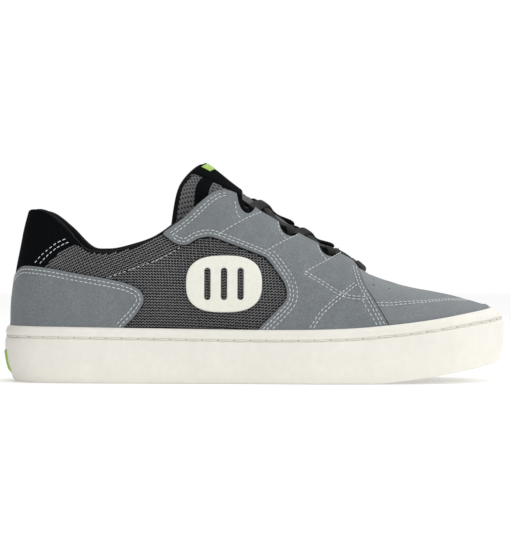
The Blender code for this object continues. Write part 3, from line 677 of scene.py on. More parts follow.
SUEDE = finish("suede", (0.128, 0.143, 0.152), (0.262, 0.284, 0.300), 0.88, (900, 3200), (0.00008, 0.00011),
               sheen=0.16, patch=0.55, patch_colour=(0.155, 0.170, 0.180), patch_scale=110.0, spec=0.15)
VAMP_SUEDE = finish("vamp_suede", (0.150, 0.165, 0.174), (0.280, 0.300, 0.314), 0.88, (900, 3200),
                    (0.00008, 0.00011), sheen=0.16, patch=0.5, patch_colour=(0.185, 0.200, 0.210),
                    patch_scale=110.0, spec=0.15)
# Dark cut edges of the suede, darkened further as painted shade along the panels' edges.
CUT_EDGE_SHADE = finish("cut_edge_shade", (0.020, 0.022, 0.024), (0.060, 0.065, 0.070), 0.95, (2500, 6000),
                   (0.0001, 0.0001), spec=0.1)
BLACK_SUEDE = finish("black_suede", (0.0026, 0.0030, 0.0036), (0.0050, 0.0056, 0.0066), 0.9, (900, 3600),
                     (0.00005, 0.00006), spec=0.03)
BINDING = finish("binding", (0.0030, 0.0034, 0.0042), (0.0085, 0.0090, 0.0105), 0.85, (1400, 5200),
                 (0.00005, 0.00008), sheen=0.02, spec=0.07)
THREAD = finish("thread", (0.56, 0.58, 0.58), (0.78, 0.80, 0.80), 0.6, (3000, 9000), (0.00004, 0.00003),
                sheen=0.1, spec=0.4)
DARK_MESH = finish("dark_mesh", (0.006, 0.006, 0.008), (0.020, 0.020, 0.024), 0.9, (1500, 6000),
                   (0.00008, 0.00006), spec=0.1)
MESH_THREAD = finish("mesh_thread", (0.15, 0.15, 0.15), (0.34, 0.34, 0.34), 0.75, (700, 5000),
                     (0.00004, 0.00003), sheen=0.05, spec=0.3)
LINING = finish("lining", (0.010, 0.010, 0.011), (0.026, 0.026, 0.028), 0.9, (2200, 6000),
                (0.00012, 0.0001), sheen=0.05, spec=0.08)
RUBBER = finish("rubber", (0.82, 0.795, 0.725), (0.885, 0.862, 0.795), 0.5, (260, 2600), (0.00002, 0.000025),
                coat=0.03, patch=0.45, patch_colour=(0.79, 0.765, 0.70), patch_scale=70.0, spec=0.3)
PLATE = finish("plate", (0.80, 0.79, 0.70), (0.88, 0.87, 0.79), 0.45, (400, 3400), (0.00002, 0.00002),
               coat=0.05, spec=0.3)
# Grey of the sole's stitch holes: painted shade for the dark inside of each hole.
HOLE_SHADE = finish("sole_hole_shade", (0.54, 0.52, 0.48), (0.62, 0.60, 0.55), 0.8, (400, 3400), (0.00002, 0.00002),
             spec=0.2)
LIME = finish("lime", (0.28, 0.47, 0.075), (0.36, 0.56, 0.12), 0.45, (400, 3400), (0.00002, 0.00002),
              coat=0.1, spec=0.3)
print("materials with these finishes:", len(bpy.data.materials))

# %% [markdown]
# ## The cup sole
# A cup sole is one moulding: a thick wall with a stitched groove under a rim strip, a floor
# inside and a tread below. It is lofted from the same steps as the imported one, with rounder
# edges, a narrower groove and a fine grain. A turned or extruded form could not follow the last.

# %% Sole side and rim
SOLE_COLUMNS = 480
LIP = 0.0022
LIP_AT_MESH = 0.0010
# Steps at the foot of the side, as height and distance from its bottom edge, in metres.
FOOT_STEPS = ((0.0, -0.0012), (0.0002, -0.0004), (0.0008, 0.0001))
# The side between the bottom edge and the groove, by share of its height.
SIDE_SHARES = (0.0, 0.10, 0.40, 0.80, 1.0)
# Steps across the groove, as height in metres, distance in metres and share of the groove's depth.
GROOVE_STEPS = (
    (-0.00150, -0.00005, 0.0), (-0.00110, -0.00020, 0.0), (-0.00085, 0.0, -0.55), (-0.00055, 0.0, -0.92),
    (0.0, 0.0, -1.0), (0.00035, 0.0, -0.95), (0.00060, 0.0, -0.70), (0.00085, 0.0, -0.42),
)
# Steps up the rim strip, by share of its height and of the groove's depth.
STRIP_STEPS = ((0.22, 0.28), (0.34, 0.24), (0.50, 0.32), (0.66, 0.48), (0.80, 0.74))


def sole_side_curve(station):
    """Heights and distances of the moulded side, bottom edge to seat, at each station."""
    seat, out, heights, away = sole_steps(station)
    low, top = heights[:, 0], heights[:, -1]
    groove, thick = heights[:, 5], away[:, 3]
    bumper = thick - SOLE_WALL
    rows = [(low + up, away[:, 0] + wider) for up, wider in FOOT_STEPS]
    shape = np.column_stack([away[:, :4], away[:, 3] - 0.00015])
    for share in np.linspace(0.06, 0.90, 11):
        flat = np.array([np.interp(share, SIDE_SHARES, row) for row in shape])
        bulge = 0.0004 * math.sin(math.pi * share) * (thick / SOLE_WALL) ** 0.5
        rows.append((low + share * (groove - low), flat + bulge))
    for up, wider, depth in GROOVE_STEPS:
        rows.append((groove + up, thick + (wider + depth * STITCH_GROOVE)))
    strip = top - groove
    for share, depth in STRIP_STEPS:
        lean = bumper * (0.15 + 0.60 * share)
        rows.append((groove + share * strip, thick - depth * STITCH_GROOVE - lean))
    crest = away[:, -1]
    rows.append((groove + 0.90 * strip, crest + 0.00075))
    rows.append((groove + 0.97 * strip, crest + 0.00025))
    rows.append((top, crest - 0.0002))
    # the lip stands clear of the panels, and comes close where bare mesh meets the sole
    side = outer_side(station)
    bare = blend(side, 4.6, 5.2) * (1 - blend(side, 6.6, 7.2))
    lip = np.minimum(CLEAR + (LIP - LIP_AT_MESH * bare), crest - 0.0006)
    rows.append((top - 0.0001, lip + 0.0002))
    rows.append((top - 0.0006, lip))
    rows.append((top - 0.0016, lip * 0.5))
    return seat, out, rows


s = all_round(SOLE_COLUMNS)
seat, out, rows = sole_side_curve(s)
grid = [np.column_stack([seat[:, :2] + out[:, :2] * a[:, None], z]) for z, a in rows]
grid.append(last(s, rim_at(s) - 0.035, CLEAR))
grid.append(last(s, 0.45 * rim_at(s), CLEAR))
foot_line = last(s, 0.0, CLEAR)
foot_line[:, 2] = floor_height(foot_line[:, 0])
grid.append(foot_line)
sole_grid = np.array(grid)
print("sole side:", sole_grid.shape, "reach", ((sole_grid.max(axis=(0, 1)) - ORIGIN) * 1000).round(1), "mm")

# %% [markdown]
# ## Tread and floor
# The loft has no underside yet. A fan of triangles would close it, but could carry no tread. So
# rungs are laid across the ring, like a ladder, and every rung follows the grooves of the
# tread: two groups of cross cuts, one under the heel and one under the ball.

# %% Tread and floor of the sole
ACROSS = 36
FLOOR_ACROSS = 6
HALF = SOLE_COLUMNS // 2
CUT_STEP = 0.045
CUTS = [0.05 + CUT_STEP * i for i in range(5)] + [0.46 + CUT_STEP * i for i in range(6)]
SOFT_EDGE = 0.0006


def tread_depth(x, inset):
    """How deep the tread is at a place, with its distance from the sole's border."""
    deep = np.zeros_like(x)
    inside = blend(inset, TREAD_BORDER - 0.0008, TREAD_BORDER + 0.0008)
    half = 0.5 * TREAD_GROOVE
    for share in CUTS:
        off = np.abs(x - share * LENGTH)
        deep = np.maximum(deep, TREAD_DEPTH * (1 - blend(off, half - SOFT_EDGE, half)))
    return deep * inside


def ladder(ring, count):
    """Points between a ring's outer and inner halves, row by row from heel to toe."""
    left = ring[1:HALF]
    right = ring[:HALF:-1]
    t = np.linspace(0, 1, count + 1)[1:-1, None, None]
    return left[None] * (1 - t) + right[None] * t, left, right


under, left, right = ladder(sole_grid[0], ACROSS)
width = np.linalg.norm(right - left, axis=1)
shares_across = np.linspace(0, 1, ACROSS + 1)[1:-1, None]
inset = np.minimum(shares_across, 1 - shares_across) * width
under[..., 2] = ground(under[..., 0]) + tread_depth(under[..., 0], inset)
over, _, _ = ladder(sole_grid[-1], FLOOR_ACROSS)
over[..., 2] = floor_height(over[..., 0])


def close_ring(points, ring_start, inner, flip):
    """Faces between a ring and the ladder inside it. Adds the ladder's points."""
    start, count = len(points), len(inner) + 1
    columns = HALF - 1
    points.extend(inner.reshape(-1, 3))
    faces = []

    def at(row, i):
        """Vertex of one rung: row 0 is the outer ring, the last row is the ring's other side."""
        if row == 0:
            return ring_start + 1 + i
        if row == count:
            return ring_start + SOLE_COLUMNS - 1 - i
        return start + (row - 1) * columns + i

    for row in range(count):
        for i in range(columns - 1):
            faces.append((at(row, i), at(row, i + 1), at(row + 1, i + 1), at(row + 1, i)))
        faces.append((ring_start, at(row, 0), at(row + 1, 0)))
        faces.append((ring_start + HALF, at(row + 1, columns - 1), at(row, columns - 1)))
    return [f[::-1] for f in faces] if flip else faces


points = list(sole_grid.reshape(-1, 3))
faces = [tuple(f) for f in grid_faces(len(sole_grid), SOLE_COLUMNS, loop_columns=True)]
faces += close_ring(points, 0, under, True)
faces += close_ring(points, (len(sole_grid) - 1) * SOLE_COLUMNS, over, False)
make_piece("cup_sole", points, faces, RUBBER, replaces=["outsole"])

# %% [markdown]
# ## The upper's shell
# Under all the panels is one textile shell: dark mesh outside, a wall of foam that grows
# towards the collar, and a lining inside. It is lofted once round, over the edge and down again.

# %% Shell and lining
SHELL_COLUMNS = 480
SHELL_DROP = 0.0003


def roll_of(s):
    """The edge, its thickness and the height where the roll over it starts."""
    edge, thick = edge_at(s), wall(s, 1.0)
    return edge, thick, edge - np.minimum(0.5 * thick / rise(s), 0.05)


def shell_rows(s):
    """Outer rows, the roll over the edge and inner rows of the shell."""
    (edge, thick, top), rim = roll_of(s), rim_at(s)
    outside = [last(s, 0.0, 0.0)]
    outside[0][:, 2] = floor_height(outside[0][:, 0]) + CLEAR
    for share in np.linspace(0.25, 1.0, 4):
        outside.append(last(s, rim * share, 0.0))
    for share in np.linspace(0.04, 1.0, 26):
        outside.append(last(s, rim + (top - rim) * share, -SHELL_DROP))
    roll = []
    for turn in np.linspace(0, math.pi, 11)[1:-1]:
        h = top + (edge - top) * math.sin(turn)
        roll.append(last(s, h, -0.5 * thick + (0.5 * thick - SHELL_DROP) * math.cos(turn)))
    inside = []
    for share in np.linspace(1.0, 0.04, 18):
        h = rim + (top - rim) * share
        inside.append(last(s, h, -wall(s, h)))
    for share in (0.9, 0.5):
        inside.append(last(s, rim * share, -WALL))
    bottom = last(s, 0.0, -WALL)
    bottom[:, 2] = floor_height(bottom[:, 0]) + CLEAR
    inside.append(bottom)
    return outside, roll, inside


s = all_round(SHELL_COLUMNS)
outside_rows, roll_rows, inside_rows = shell_rows(s)
shell = np.array(outside_rows + roll_rows + inside_rows)
faces = grid_faces(len(shell), SHELL_COLUMNS, loop_rows=True, loop_columns=True)
upper = make_piece("upper_shell", shell.reshape(-1, 3), faces, DARK_MESH, replaces=["upper"])
upper.data.materials.append(LINING)
lining_from = (len(outside_rows) + len(roll_rows) // 2) * SHELL_COLUMNS
looks = [1 if min(p.vertices) >= lining_from or max(p.vertices) >= lining_from + SHELL_COLUMNS else 0
         for p in upper.data.polygons]
upper.data.polygons.foreach_set("material_index", looks)
print("faces of the lining:", sum(looks))

# %% [markdown]
# ## From the side view to the last
# A pattern cutter draws the panels flat. Here their outlines are read from the side of the shoe,
# as places along it and above the floor in millimetres, and carried onto the last.
# Rows of stitches are then a panel's edge, moved inward along the surface.

# %% Points of the side view on the last
OUTER, INNER = 0, TOE


def find(points, side=OUTER):
    """Station and height on one side of the shoe for side-view points, in metres."""
    points = np.asarray(points, float)
    s = np.arange(side * PER_STATION, (side + TOE) * PER_STATION + 1)
    flat = NET[s % len(NET)][:, :, [0, 2]].reshape(-1, 2)
    near = np.concatenate([((flat[None] - some[:, None]) ** 2).sum(axis=2).argmin(axis=1)
                           for some in np.array_split(points, max(1, len(points) // 40))])
    station, height = s[near // (LEVELS + 1)] / PER_STATION, (near % (LEVELS + 1)) / LEVELS
    for _ in range(4):
        here = last(station, height)[:, [0, 2]]
        ds = (last(station + 0.03, height) - last(station - 0.03, height))[:, [0, 2]] / 0.06
        dh = (last(station, height + 0.01) - last(station, height - 0.01))[:, [0, 2]] / 0.02
        miss = points - here
        det = ds[:, 0] * dh[:, 1] - ds[:, 1] * dh[:, 0]
        det = np.where(np.abs(det) < 1e-7, 1e-7, det)
        station = station + np.clip((miss[:, 0] * dh[:, 1] - miss[:, 1] * dh[:, 0]) / det, -0.1, 0.1)
        height = height + np.clip((ds[:, 0] * miss[:, 1] - ds[:, 1] * miss[:, 0]) / det, -0.02, 0.02)
        station = np.clip(station, side, side + TOE)
        height = np.clip(height, -0.1, 1.05)
    return np.column_stack([station, height])


def curve_on_last(points):
    """A smooth curve through points of the side view, carried onto the last."""
    return find(smooth(points, 6))


def opposite(line):
    """The same line on the shoe's other side."""
    return np.column_stack([ROUND - line[:, 0], line[:, 1]])


def even(line, step, closed=False):
    """The line's points spaced evenly along the last."""
    line = np.asarray(line, float)
    if closed:
        line = np.vstack([line, line[:1]])
    run = run_along(last(*line.T))
    count = max(int(round(run[-1] / step)), 2)
    out = read_at(np.linspace(0, run[-1], count + 1), run, line)
    return out[:-1] if closed else out


def steps_along(line):
    """Directions of growing station and height at each point of a line."""
    s, h = line.T
    return ((last(s + 0.05, h) - last(s - 0.05, h)) / 0.1, (last(s, h + 0.01) - last(s, h - 0.01)) / 0.02)


def shift(line, distance):
    """The line moved sideways along the surface, to its left as seen from outside."""
    along = np.gradient(last(*line.T), axis=0)
    along /= np.linalg.norm(along, axis=1, keepdims=True) + 1e-12
    aside = np.cross(normal(*line.T), along)
    ds, dh = steps_along(line)
    a, b, c = (ds * ds).sum(1), (ds * dh).sum(1), (dh * dh).sum(1)
    p, q = (ds * aside).sum(1) * distance, (dh * aside).sum(1) * distance
    det = a * c - b * b
    return line + np.column_stack([(p * c - q * b) / det, (a * q - b * p) / det])


def mm(*pairs):
    """Metres from millimetres."""
    return np.array(pairs) * 0.001


tip = find(mm((94.6, 85.4)))[0]
print("the quarter's rear corner lies at station", tip[0].round(2), "and height", tip[1].round(2))

# %% [markdown]
# ## Suede panels
# Each panel is cut from suede over a millimetre thick, so its edge shows as a small step.
# Its outline is filled with an even net of triangles, raised from the last, and rounded down
# to nothing at the edge. Along the stitches the suede is pulled in a little.
# A Solidify modifier would give square edges, and a displacement map no edge at all.

# %% Flat layout of the last
PITCH = 0.0246


def flat_of(line):
    """A flat layout of stations and heights, about true to size."""
    return np.column_stack([line[:, 0] * PITCH, line[:, 1] * rise(line[:, 0])])


def from_flat(flat):
    """Stations and heights of places in the flat layout."""
    s = flat[:, 0] / PITCH
    return np.column_stack([s, flat[:, 1] / rise(s)])


def encloses(ring, points):
    """Whether each flat point lies inside the ring, counting crossings."""
    a, b = ring, np.roll(ring, -1, axis=0)
    found = np.zeros(len(points), bool)
    for start in range(0, len(points), 2000):
        p = points[start:start + 2000]
        over = (a[None, :, 1] > p[:, None, 1]) != (b[None, :, 1] > p[:, None, 1])
        run = b[:, 1] - a[:, 1]
        run = np.where(run == 0, 1e-12, run)
        at = a[:, 0] + (p[:, 1, None] - a[:, 1]) / run * (b[:, 0] - a[:, 0])
        found[start:start + 2000] = (over & (p[:, 0, None] < at)).sum(axis=1) % 2 == 1
    return found


def tree_of(points):
    tree = kdtree.KDTree(len(points))
    for i, p in enumerate(points):
        tree.insert(p, i)
    tree.balance()
    return tree


def distances(points, tree):
    """Distance from each point to the nearest one in the tree."""
    return np.array([tree.find(p)[2] for p in points])


def drift(points, size=0.00018, wave=0.022):
    """Gentle unevenness of a hand-lasted surface, the same in each run."""
    x, y, z = (points / wave).T
    return size * (np.sin(2.1 * x + 1.3 * z + 0.4) * np.cos(1.7 * z - 0.9 * y)
                   + 0.5 * np.sin(4.3 * x - 3.1 * z + 2.0) + 0.4 * np.cos(5.9 * z + 2.2 * y + 1.1))


print("a panel lies flat at", round(PITCH * 1000, 1), "mm to a station")

# %% A net of triangles inside an outline
EDGE_ROWS = (0.00022, 0.00050, 0.00095)


def moved_in(ring, distance):
    """A flat closed ring moved to its left."""
    along = np.roll(ring, -1, axis=0) - np.roll(ring, 1, axis=0)
    along /= np.linalg.norm(along, axis=1, keepdims=True) + 1e-12
    return ring + distance * np.column_stack([-along[:, 1], along[:, 0]])


def turns_left(ring):
    """1 for a ring that turns left, -1 for one that turns right."""
    x, y = ring.T
    return 1 if np.sum(x * np.roll(y, -1) - np.roll(x, -1) * y) > 0 else -1


def net_in(ring, lattice, holes=()):
    """Points inside a flat ring, in rows along its edges and then an even net, with triangles."""
    edges = [ring] + list(holes)
    edge_tree = tree_of([(*p, 0) for e in edges for p in e])
    beside = []
    for away in EDGE_ROWS:
        for k, e in enumerate(edges):
            row = moved_in(e, away * turns_left(e) * (1 if k == 0 else -1))
            beside.append(row[distances([(*p, 0) for p in row], edge_tree) > 0.8 * away])
    low, high = ring.min(axis=0), ring.max(axis=0)
    up = np.arange(low[1], high[1], lattice * 0.866)
    x, y = np.meshgrid(np.arange(low[0], high[0], lattice), up)
    x = x + (np.arange(len(up)) % 2)[:, None] * 0.5 * lattice
    net = np.column_stack([x.ravel(), y.ravel()])
    net = net[distances([(*p, 0) for p in net], edge_tree) > EDGE_ROWS[-1] + 0.4 * lattice]
    spots = np.vstack(beside + [net])

    def within(points):
        found = encloses(ring, points)
        for hole in holes:
            found &= ~encloses(hole, points)
        return found

    every = np.vstack(edges + [spots[within(spots)]])
    links, start = [], 0
    for e in edges:
        links += [(start + i, start + (i + 1) % len(e)) for i in range(len(e))]
        start += len(e)
    made = geometry.delaunay_2d_cdt([Vector(p) for p in every], links, [], 1, 1e-7)
    spots, tris = np.array([tuple(v) for v in made[0]]), np.array([tuple(f) for f in made[2]])
    tris = tris[within(spots[tris].mean(axis=1))]
    a, b, c = (spots[tris[:, k]] for k in range(3))
    turn = (b - a)[:, 0] * (c - a)[:, 1] - (b - a)[:, 1] * (c - a)[:, 0]
    tris[turn < 0] = tris[turn < 0][:, ::-1]
    return spots, tris[np.abs(turn) > 1e-12]


square = np.array([(0, 0), (1, 0), (1, 1), (0, 1)]) * 0.01
print("triangles in a square of one centimetre:", len(net_in(square, 0.002)[1]))

# %% Panels from outlines
EDGE_STEP = 0.0007
HOLE_STEP = 0.0006
AT_EDGE = 0.0001
EDGE_SHADE_REACH = 0.00017
PULL_DEEP, PULL_WIDE = 0.00030, 0.0007


def panel(name, ring, base, thick, material, replaces, rows=(), holes=(), lattice=0.0014,
          rounding=0.0008, crease=None, cut=None):
    """A sheet of suede or rubber on the last, closed underneath, pulled in along its stitches.
    Its cut edge can have a material of its own: a dark cut edge with painted shade along it."""
    ring = even(ring, EDGE_STEP, closed=True)
    holes = [even(h, HOLE_STEP, closed=True) for h in holes]
    spots, tris = net_in(flat_of(ring), lattice, [flat_of(h) for h in holes])
    spots = from_flat(spots)
    on_last = last(*spots.T)
    edges = np.vstack([last(*e.T) for e in [ring] + holes])
    away = distances(on_last, tree_of(edges))
    step = np.clip(away / rounding, 0, 1)
    lift = base + thick * np.sqrt(1 - (1 - step) ** 2)
    inner = away > AT_EDGE
    swell = drift(on_last) * blend(away, 0.0, 0.004)
    if len(rows):
        seams = tree_of(np.vstack([last(*even(r, HOLE_STEP).T) for r in rows]))
        swell -= PULL_DEEP * np.exp(-(distances(on_last, seams) / PULL_WIDE) ** 2)
    if crease is not None:
        swell += crease(spots, on_last) * blend(away, 0.0, 0.003)
    top = last(*spots.T, lift + np.where(inner, swell, 0))
    under = last(*spots.T, base)
    index = np.arange(len(spots))
    below = np.where(inner, len(spots) + np.cumsum(inner) - 1, index)
    points = np.vstack([top, under[inner]])
    faces = [tuple(t) for t in tris] + [tuple(below[t][::-1]) for t in tris]
    piece = make_piece(name, points, faces, material, replaces=replaces)
    # Faces at the very edge get the cut material: a dark cut edge with painted shade along it.
    if cut:
        piece.data.materials.append(cut)
        near = np.append(away, away[inner])
        looks = [int(near[list(p.vertices)].mean() < EDGE_SHADE_REACH) for p in piece.data.polygons]
        piece.data.polygons.foreach_set("material_index", looks)


print("edges of a panel are cut every", EDGE_STEP * 1000, "mm")

# %% [markdown]
# ## Outlines of the panels
# The quarter runs from the collar to the ball and has scallops along the throat, one at each
# eyelet. Each outline is a short list of places seen from the side, as shares of the shoe's
# length and of its instep, joined by a smooth curve. Drawn curves in the viewport would do too,
# but a list is easy to measure and to correct.

# %% Outlines of the panels
QUARTER_LOWER = (
    (0.319, 0.759), (0.342, 0.716), (0.358, 0.704), (0.370, 0.709), (0.386, 0.734),
    (0.402, 0.745), (0.418, 0.743), (0.458, 0.704), (0.507, 0.653), (0.523, 0.628),
    (0.547, 0.543), (0.558, 0.490), (0.559, 0.433), (0.547, 0.390), (0.507, 0.284), (0.480, 0.200),
)
QUARTER_FRONT = ((0.780, 0.200), (0.756, 0.300), (0.729, 0.423), (0.711, 0.500), (0.700, 0.590))
COUNTER_TOP = (
    (0.000, 0.520), (0.021, 0.542), (0.036, 0.585), (0.052, 0.602), (0.101, 0.588),
    (0.152, 0.562), (0.202, 0.539), (0.239, 0.519), (0.264, 0.497), (0.279, 0.468),
    (0.284, 0.428), (0.279, 0.389), (0.264, 0.336), (0.240, 0.270), (0.228, 0.200),
)
TAB_FRONT = (
    (0.086, 0.594), (0.091, 0.606), (0.109, 0.653), (0.127, 0.689), (0.147, 0.709), (0.162, 0.704),
    (0.176, 0.693), (0.192, 0.687),
)
TAB_ROWS = (
    ((20.2, 68.9), (24.5, 73.8), (28.9, 77.5), (33.5, 80.9), (38.8, 83.3)),
    ((23.2, 68.5), (27.5, 73.1), (32.2, 77.1), (36.8, 79.8), (40.5, 81.3)),
)
RIM_TUCK = 0.0018
PANEL_BASE = 0.0004
PANEL_THICK = 0.0013
MARGIN = 0.0008
BINDING_SHOWS = 0.0014
LEVEL_STEP = 0.05


def shares(pairs):
    """Metres from shares of the length and of the instep's height."""
    return np.array([(x * LENGTH, z * INSTEP_HEIGHT) for x, z in pairs])


def foot_of_panels(station):
    """Just under the rim of the sole, where the panels end out of sight."""
    return rim_at(station) - RIM_TUCK / rise(station)


def above_foot(line):
    """The part of a line that lies above the rim, ending on it."""
    over = line[:, 1] > foot_of_panels(line[:, 0])
    kept = line[over]
    k = int(np.argmax(~over)) if not over[-1] else int(np.argmax(over)) - 1
    end = line[k:k + 1].copy()
    end[:, 1] = foot_of_panels(end[:, 0])
    return np.vstack([kept, end]) if not over[-1] else np.vstack([end, kept])


def level_line(first, last_station, height):
    """Points at a height that is a function of the station."""
    count = max(int(abs(last_station - first) / LEVEL_STEP), 2)
    s = np.linspace(first, last_station, count + 1)
    return np.column_stack([s, height(s)])


def below_edge(first, last_station, depth):
    """Points at a depth below the upper's edge."""
    return level_line(first, last_station, lambda s: edge_at(s) - depth / rise(s))


def throat_edge(station):
    """Just inside the edge. Along the collar more of the black binding shows."""
    band = BINDING_SHOWS * (1 - blend(outer_side(station), 6.0, 6.8))
    return 1 + (collar_trim(station) - MARGIN - band) / rise(station)


NOTCH = ((-1.16, -0.02), (-1.12, 0.25), (-1.04, 0.62), (-0.84, 0.92), (-0.46, 1.03), (-0.04, 0.92),
         (0.36, 0.64), (0.68, 0.33), (0.94, -0.02))
NOTCH_DEEP = (1.34, 1.04, 1.16)


def notch(centre):
    """A scallop in the throat's edge: steep behind, round below, slanting in front."""
    pitch = np.linalg.norm(last(centre + 0.3, 1.0) - last(centre - 0.3, 1.0)) / 0.6
    half = 0.5 * SCALLOP_WIDTH / pitch
    curve = smooth(NOTCH, 6)
    s = centre + half * curve[:, 0]
    deep = curve[:, 1] * (SCALLOP_DEPTH - MARGIN) * NOTCH_DEEP[SCALLOPS.index(centre)]
    return np.column_stack([s, throat_edge(s) - deep / rise(s)])


def quarter_outline():
    """The whole ring of a quarter, with its lower and its front edge."""
    lower = above_foot(curve_on_last(shares(QUARTER_LOWER)))
    front = above_foot(curve_on_last(shares(QUARTER_FRONT)))
    bottom = level_line(lower[-1, 0], front[0, 0], foot_of_panels)[1:-1]
    corner = front[-1, 0]
    top, s = [], corner
    for centre in reversed(SCALLOPS):
        cut = notch(centre)[::-1]
        top += [level_line(s, cut[0, 0], throat_edge)[:-1], cut]
        s = cut[-1, 0]
    top.append(level_line(s, lower[0, 0], throat_edge)[1:-1])
    top[0] = top[0][1:]
    return np.vstack([lower, bottom, front] + top), lower, front


quarter, quarter_lower, quarter_front = quarter_outline()
print("quarter outline:", len(quarter), "points, front corner at", quarter_front[-1].round(3))

# %% [markdown]
# ## Rows of stitches
# The upper is sewn with pale thread in double rows. Each stitch is a short rounded bead with
# its ends sunk in the leather, at a little under three millimetres from one to the next.
# They are real beads, because at this scale a bump alone would not cast their small shadows.

# %% Beads along lines
STITCH_PITCH = 0.00275
STITCH_LONG = 0.0021
STITCH_THICK = 0.00050
STITCH_SUNK = 0.00012
STITCH_STRAY = 0.05
ROW_STEP = 0.001
HALF_GAP = 0.0009
SIDES = 6
RINGS = ((-1.0, 0.30, -0.9), (-0.78, 0.85, 0.05), (-0.3, 1.0, 0.5), (0.3, 1.0, 0.5), (0.78, 0.85, 0.05),
         (1.0, 0.30, -0.9))


def beads(centre, along, up, long, thick, shape=RINGS, sides=SIDES):
    """Joined beads: points and faces of one capsule for each centre."""
    side = np.cross(along, up)
    turn = np.linspace(0, 2 * math.pi, sides, endpoint=False)
    rings = []
    for t, fat, lift in shape:
        base = centre + along * (0.5 * long * t) + up * (0.5 * thick * lift)
        ring = (base[:, None] + 0.5 * thick * fat
                * (np.cos(turn)[None, :, None] * side[:, None] + np.sin(turn)[None, :, None] * up[:, None]))
        rings.append(ring)
    points = np.stack(rings, axis=1)
    count = len(centre)
    per = len(shape) * sides
    one = [tuple(f) for f in grid_faces(len(shape), sides, loop_columns=True)]
    one += [tuple(range(sides))[::-1], tuple(range(per - sides, per))]
    quads = np.array([f for f in one if len(f) == 4])
    ends = [f for f in one if len(f) != 4]
    starts = np.arange(count) * per
    faces = [tuple(f) for f in (quads[None] + starts[:, None, None]).reshape(-1, 4)]
    for cap in ends:
        faces += [tuple(f) for f in np.array(cap)[None] + starts[:, None]]
    return points.reshape(-1, 3), faces


def stitch_places(line, offset):
    """Centres, directions and outward directions of the stitches along a line on the last."""
    fine = even(line, STITCH_PITCH / 8)
    where = last(*fine.T, offset)
    run = run_along(where)
    count = max(int(run[-1] / STITCH_PITCH), 1)
    at = (np.arange(count) + 0.5) * run[-1] / count
    ahead = unit(read_at(at + 0.0006, run, where) - read_at(at - 0.0006, run, where))
    up = normal(*read_at(at, run, fine).T)
    up = unit(up - ahead * (up * ahead).sum(axis=1, keepdims=True))
    return read_at(at, run, where), ahead, up


def sew(name, lines, long=STITCH_LONG, thick=STITCH_THICK):
    """One joined mesh of stitches. Each line comes with its height above the last."""
    rng = np.random.default_rng(7)
    parts = [stitch_places(line, offset) for line, offset in lines if len(line) > 1]
    centre, ahead, up = (np.vstack([p[k] for p in parts]) for k in range(3))
    ahead = unit(ahead + np.cross(ahead, up) * rng.normal(0, STITCH_STRAY, len(centre))[:, None])
    points, faces = beads(centre, ahead, up, long, thick)
    make_piece(name, points, faces, THREAD)
    print(name, len(centre), "stitches")


def above_rim(row):
    """The part of a row that isn't hidden by the sole."""
    s, h = row.T
    return row[h > rim_at(s) - 0.0004 / rise(s)]


def in_from(line, distance):
    """A row inside a panel's edge, without what is hidden by the sole."""
    return above_rim(shift(even(line, ROW_STEP), distance))


print("a stitch every", STITCH_PITCH * 1000, "mm")

# %% Rows of stitches on a quarter
# Lines that don't follow an edge, in millimetres from the heel's end and above the floor.
BESIDE_NOTCHES = (
    ((135.8, 105.0), (136.4, 100.8), (137.4, 96.7), (139.3, 94.6)),
    ((160.7, 92.9), (161.3, 89.3), (162.3, 86.5), (165.6, 82.0)),
    ((184.0, 79.1), (184.8, 76.1), (186.3, 73.1), (189.0, 69.9)),
)
UNDER_NOTCHES = (
    ((151.2, 98.4), (145.7, 96.2), (140.6, 93.6), (133.9, 89.7), (126.2, 85.0)),
    ((172.5, 85.0), (166.7, 82.3), (158.0, 77.8), (154.9, 75.8)),
    ((198.0, 74.7), (191.1, 70.7), (181.8, 66.1), (176.1, 62.9)),
)
CROSS_ROWS = (
    ((176.1, 63.2), (186.0, 57.3), (196.5, 50.9), (203.0, 48.9), (211.5, 48.3)),
    ((206.1, 56.4), (202.0, 53.6), (198.4, 50.8), (188.0, 42.3), (184.0, 37.5), (180.0, 31.1)),
)
EXTRA_FRONT = ((209.2, 47.6), (211.4, 43.6), (214.4, 38.8), (217.8, 33.0))
QUARTER_TOP = PANEL_BASE + PANEL_THICK
COLLAR_ROWS_END = 7.12


def quarter_rows():
    """Every row of stitches on a quarter, as lines on the last."""
    rows = []
    for beside_lower, beside_front in ((0.0022, 0.0019), (0.0040, 0.0036)):
        rows.append(in_from(quarter_lower[4:], beside_lower))
        rows.append(in_from(quarter_front, beside_front)[:-2])
    window = quarter_lower[int(0.60 * len(quarter_lower)):]
    rows.append(in_from(window, 0.0062))
    collar = level_line(9.0, quarter_lower[0, 0] + 0.12, throat_edge)
    collar = collar[collar[:, 0] < COLLAR_ROWS_END]
    for distance in (0.0030, 0.0048):
        rows.append(in_from(collar, distance))
    for pairs in BESIDE_NOTCHES + UNDER_NOTCHES:
        rows.append(curve_on_last(mm(*pairs)))
    for pairs in CROSS_ROWS:
        line = even(curve_on_last(mm(*pairs)), ROW_STEP)
        rows += [shift(line, HALF_GAP), shift(line, -HALF_GAP)]
    rows.append(curve_on_last(mm(*EXTRA_FRONT)))
    return [above_rim(row) for row in rows]


QUARTER_ROWS = quarter_rows()
print("rows on a quarter:", len(QUARTER_ROWS))

# %% [markdown]
# ## Quarters
# New suede already bends a little at the ball when the shoe is pulled off its last. A sculpting
# brush or a cloth could make such troughs. Here each one is listed, with its lean, depth
# and width, so that the two sides get the same three.

# %% Quarters
# Place along the shoe, lean, depth and width of each trough.
QUARTER_TROUGHS = (
    (0.655, 0.05, 0.00035, 0.010), (0.690, 0.07, 0.00045, 0.009), (0.724, 0.09, 0.00030, 0.008),
)


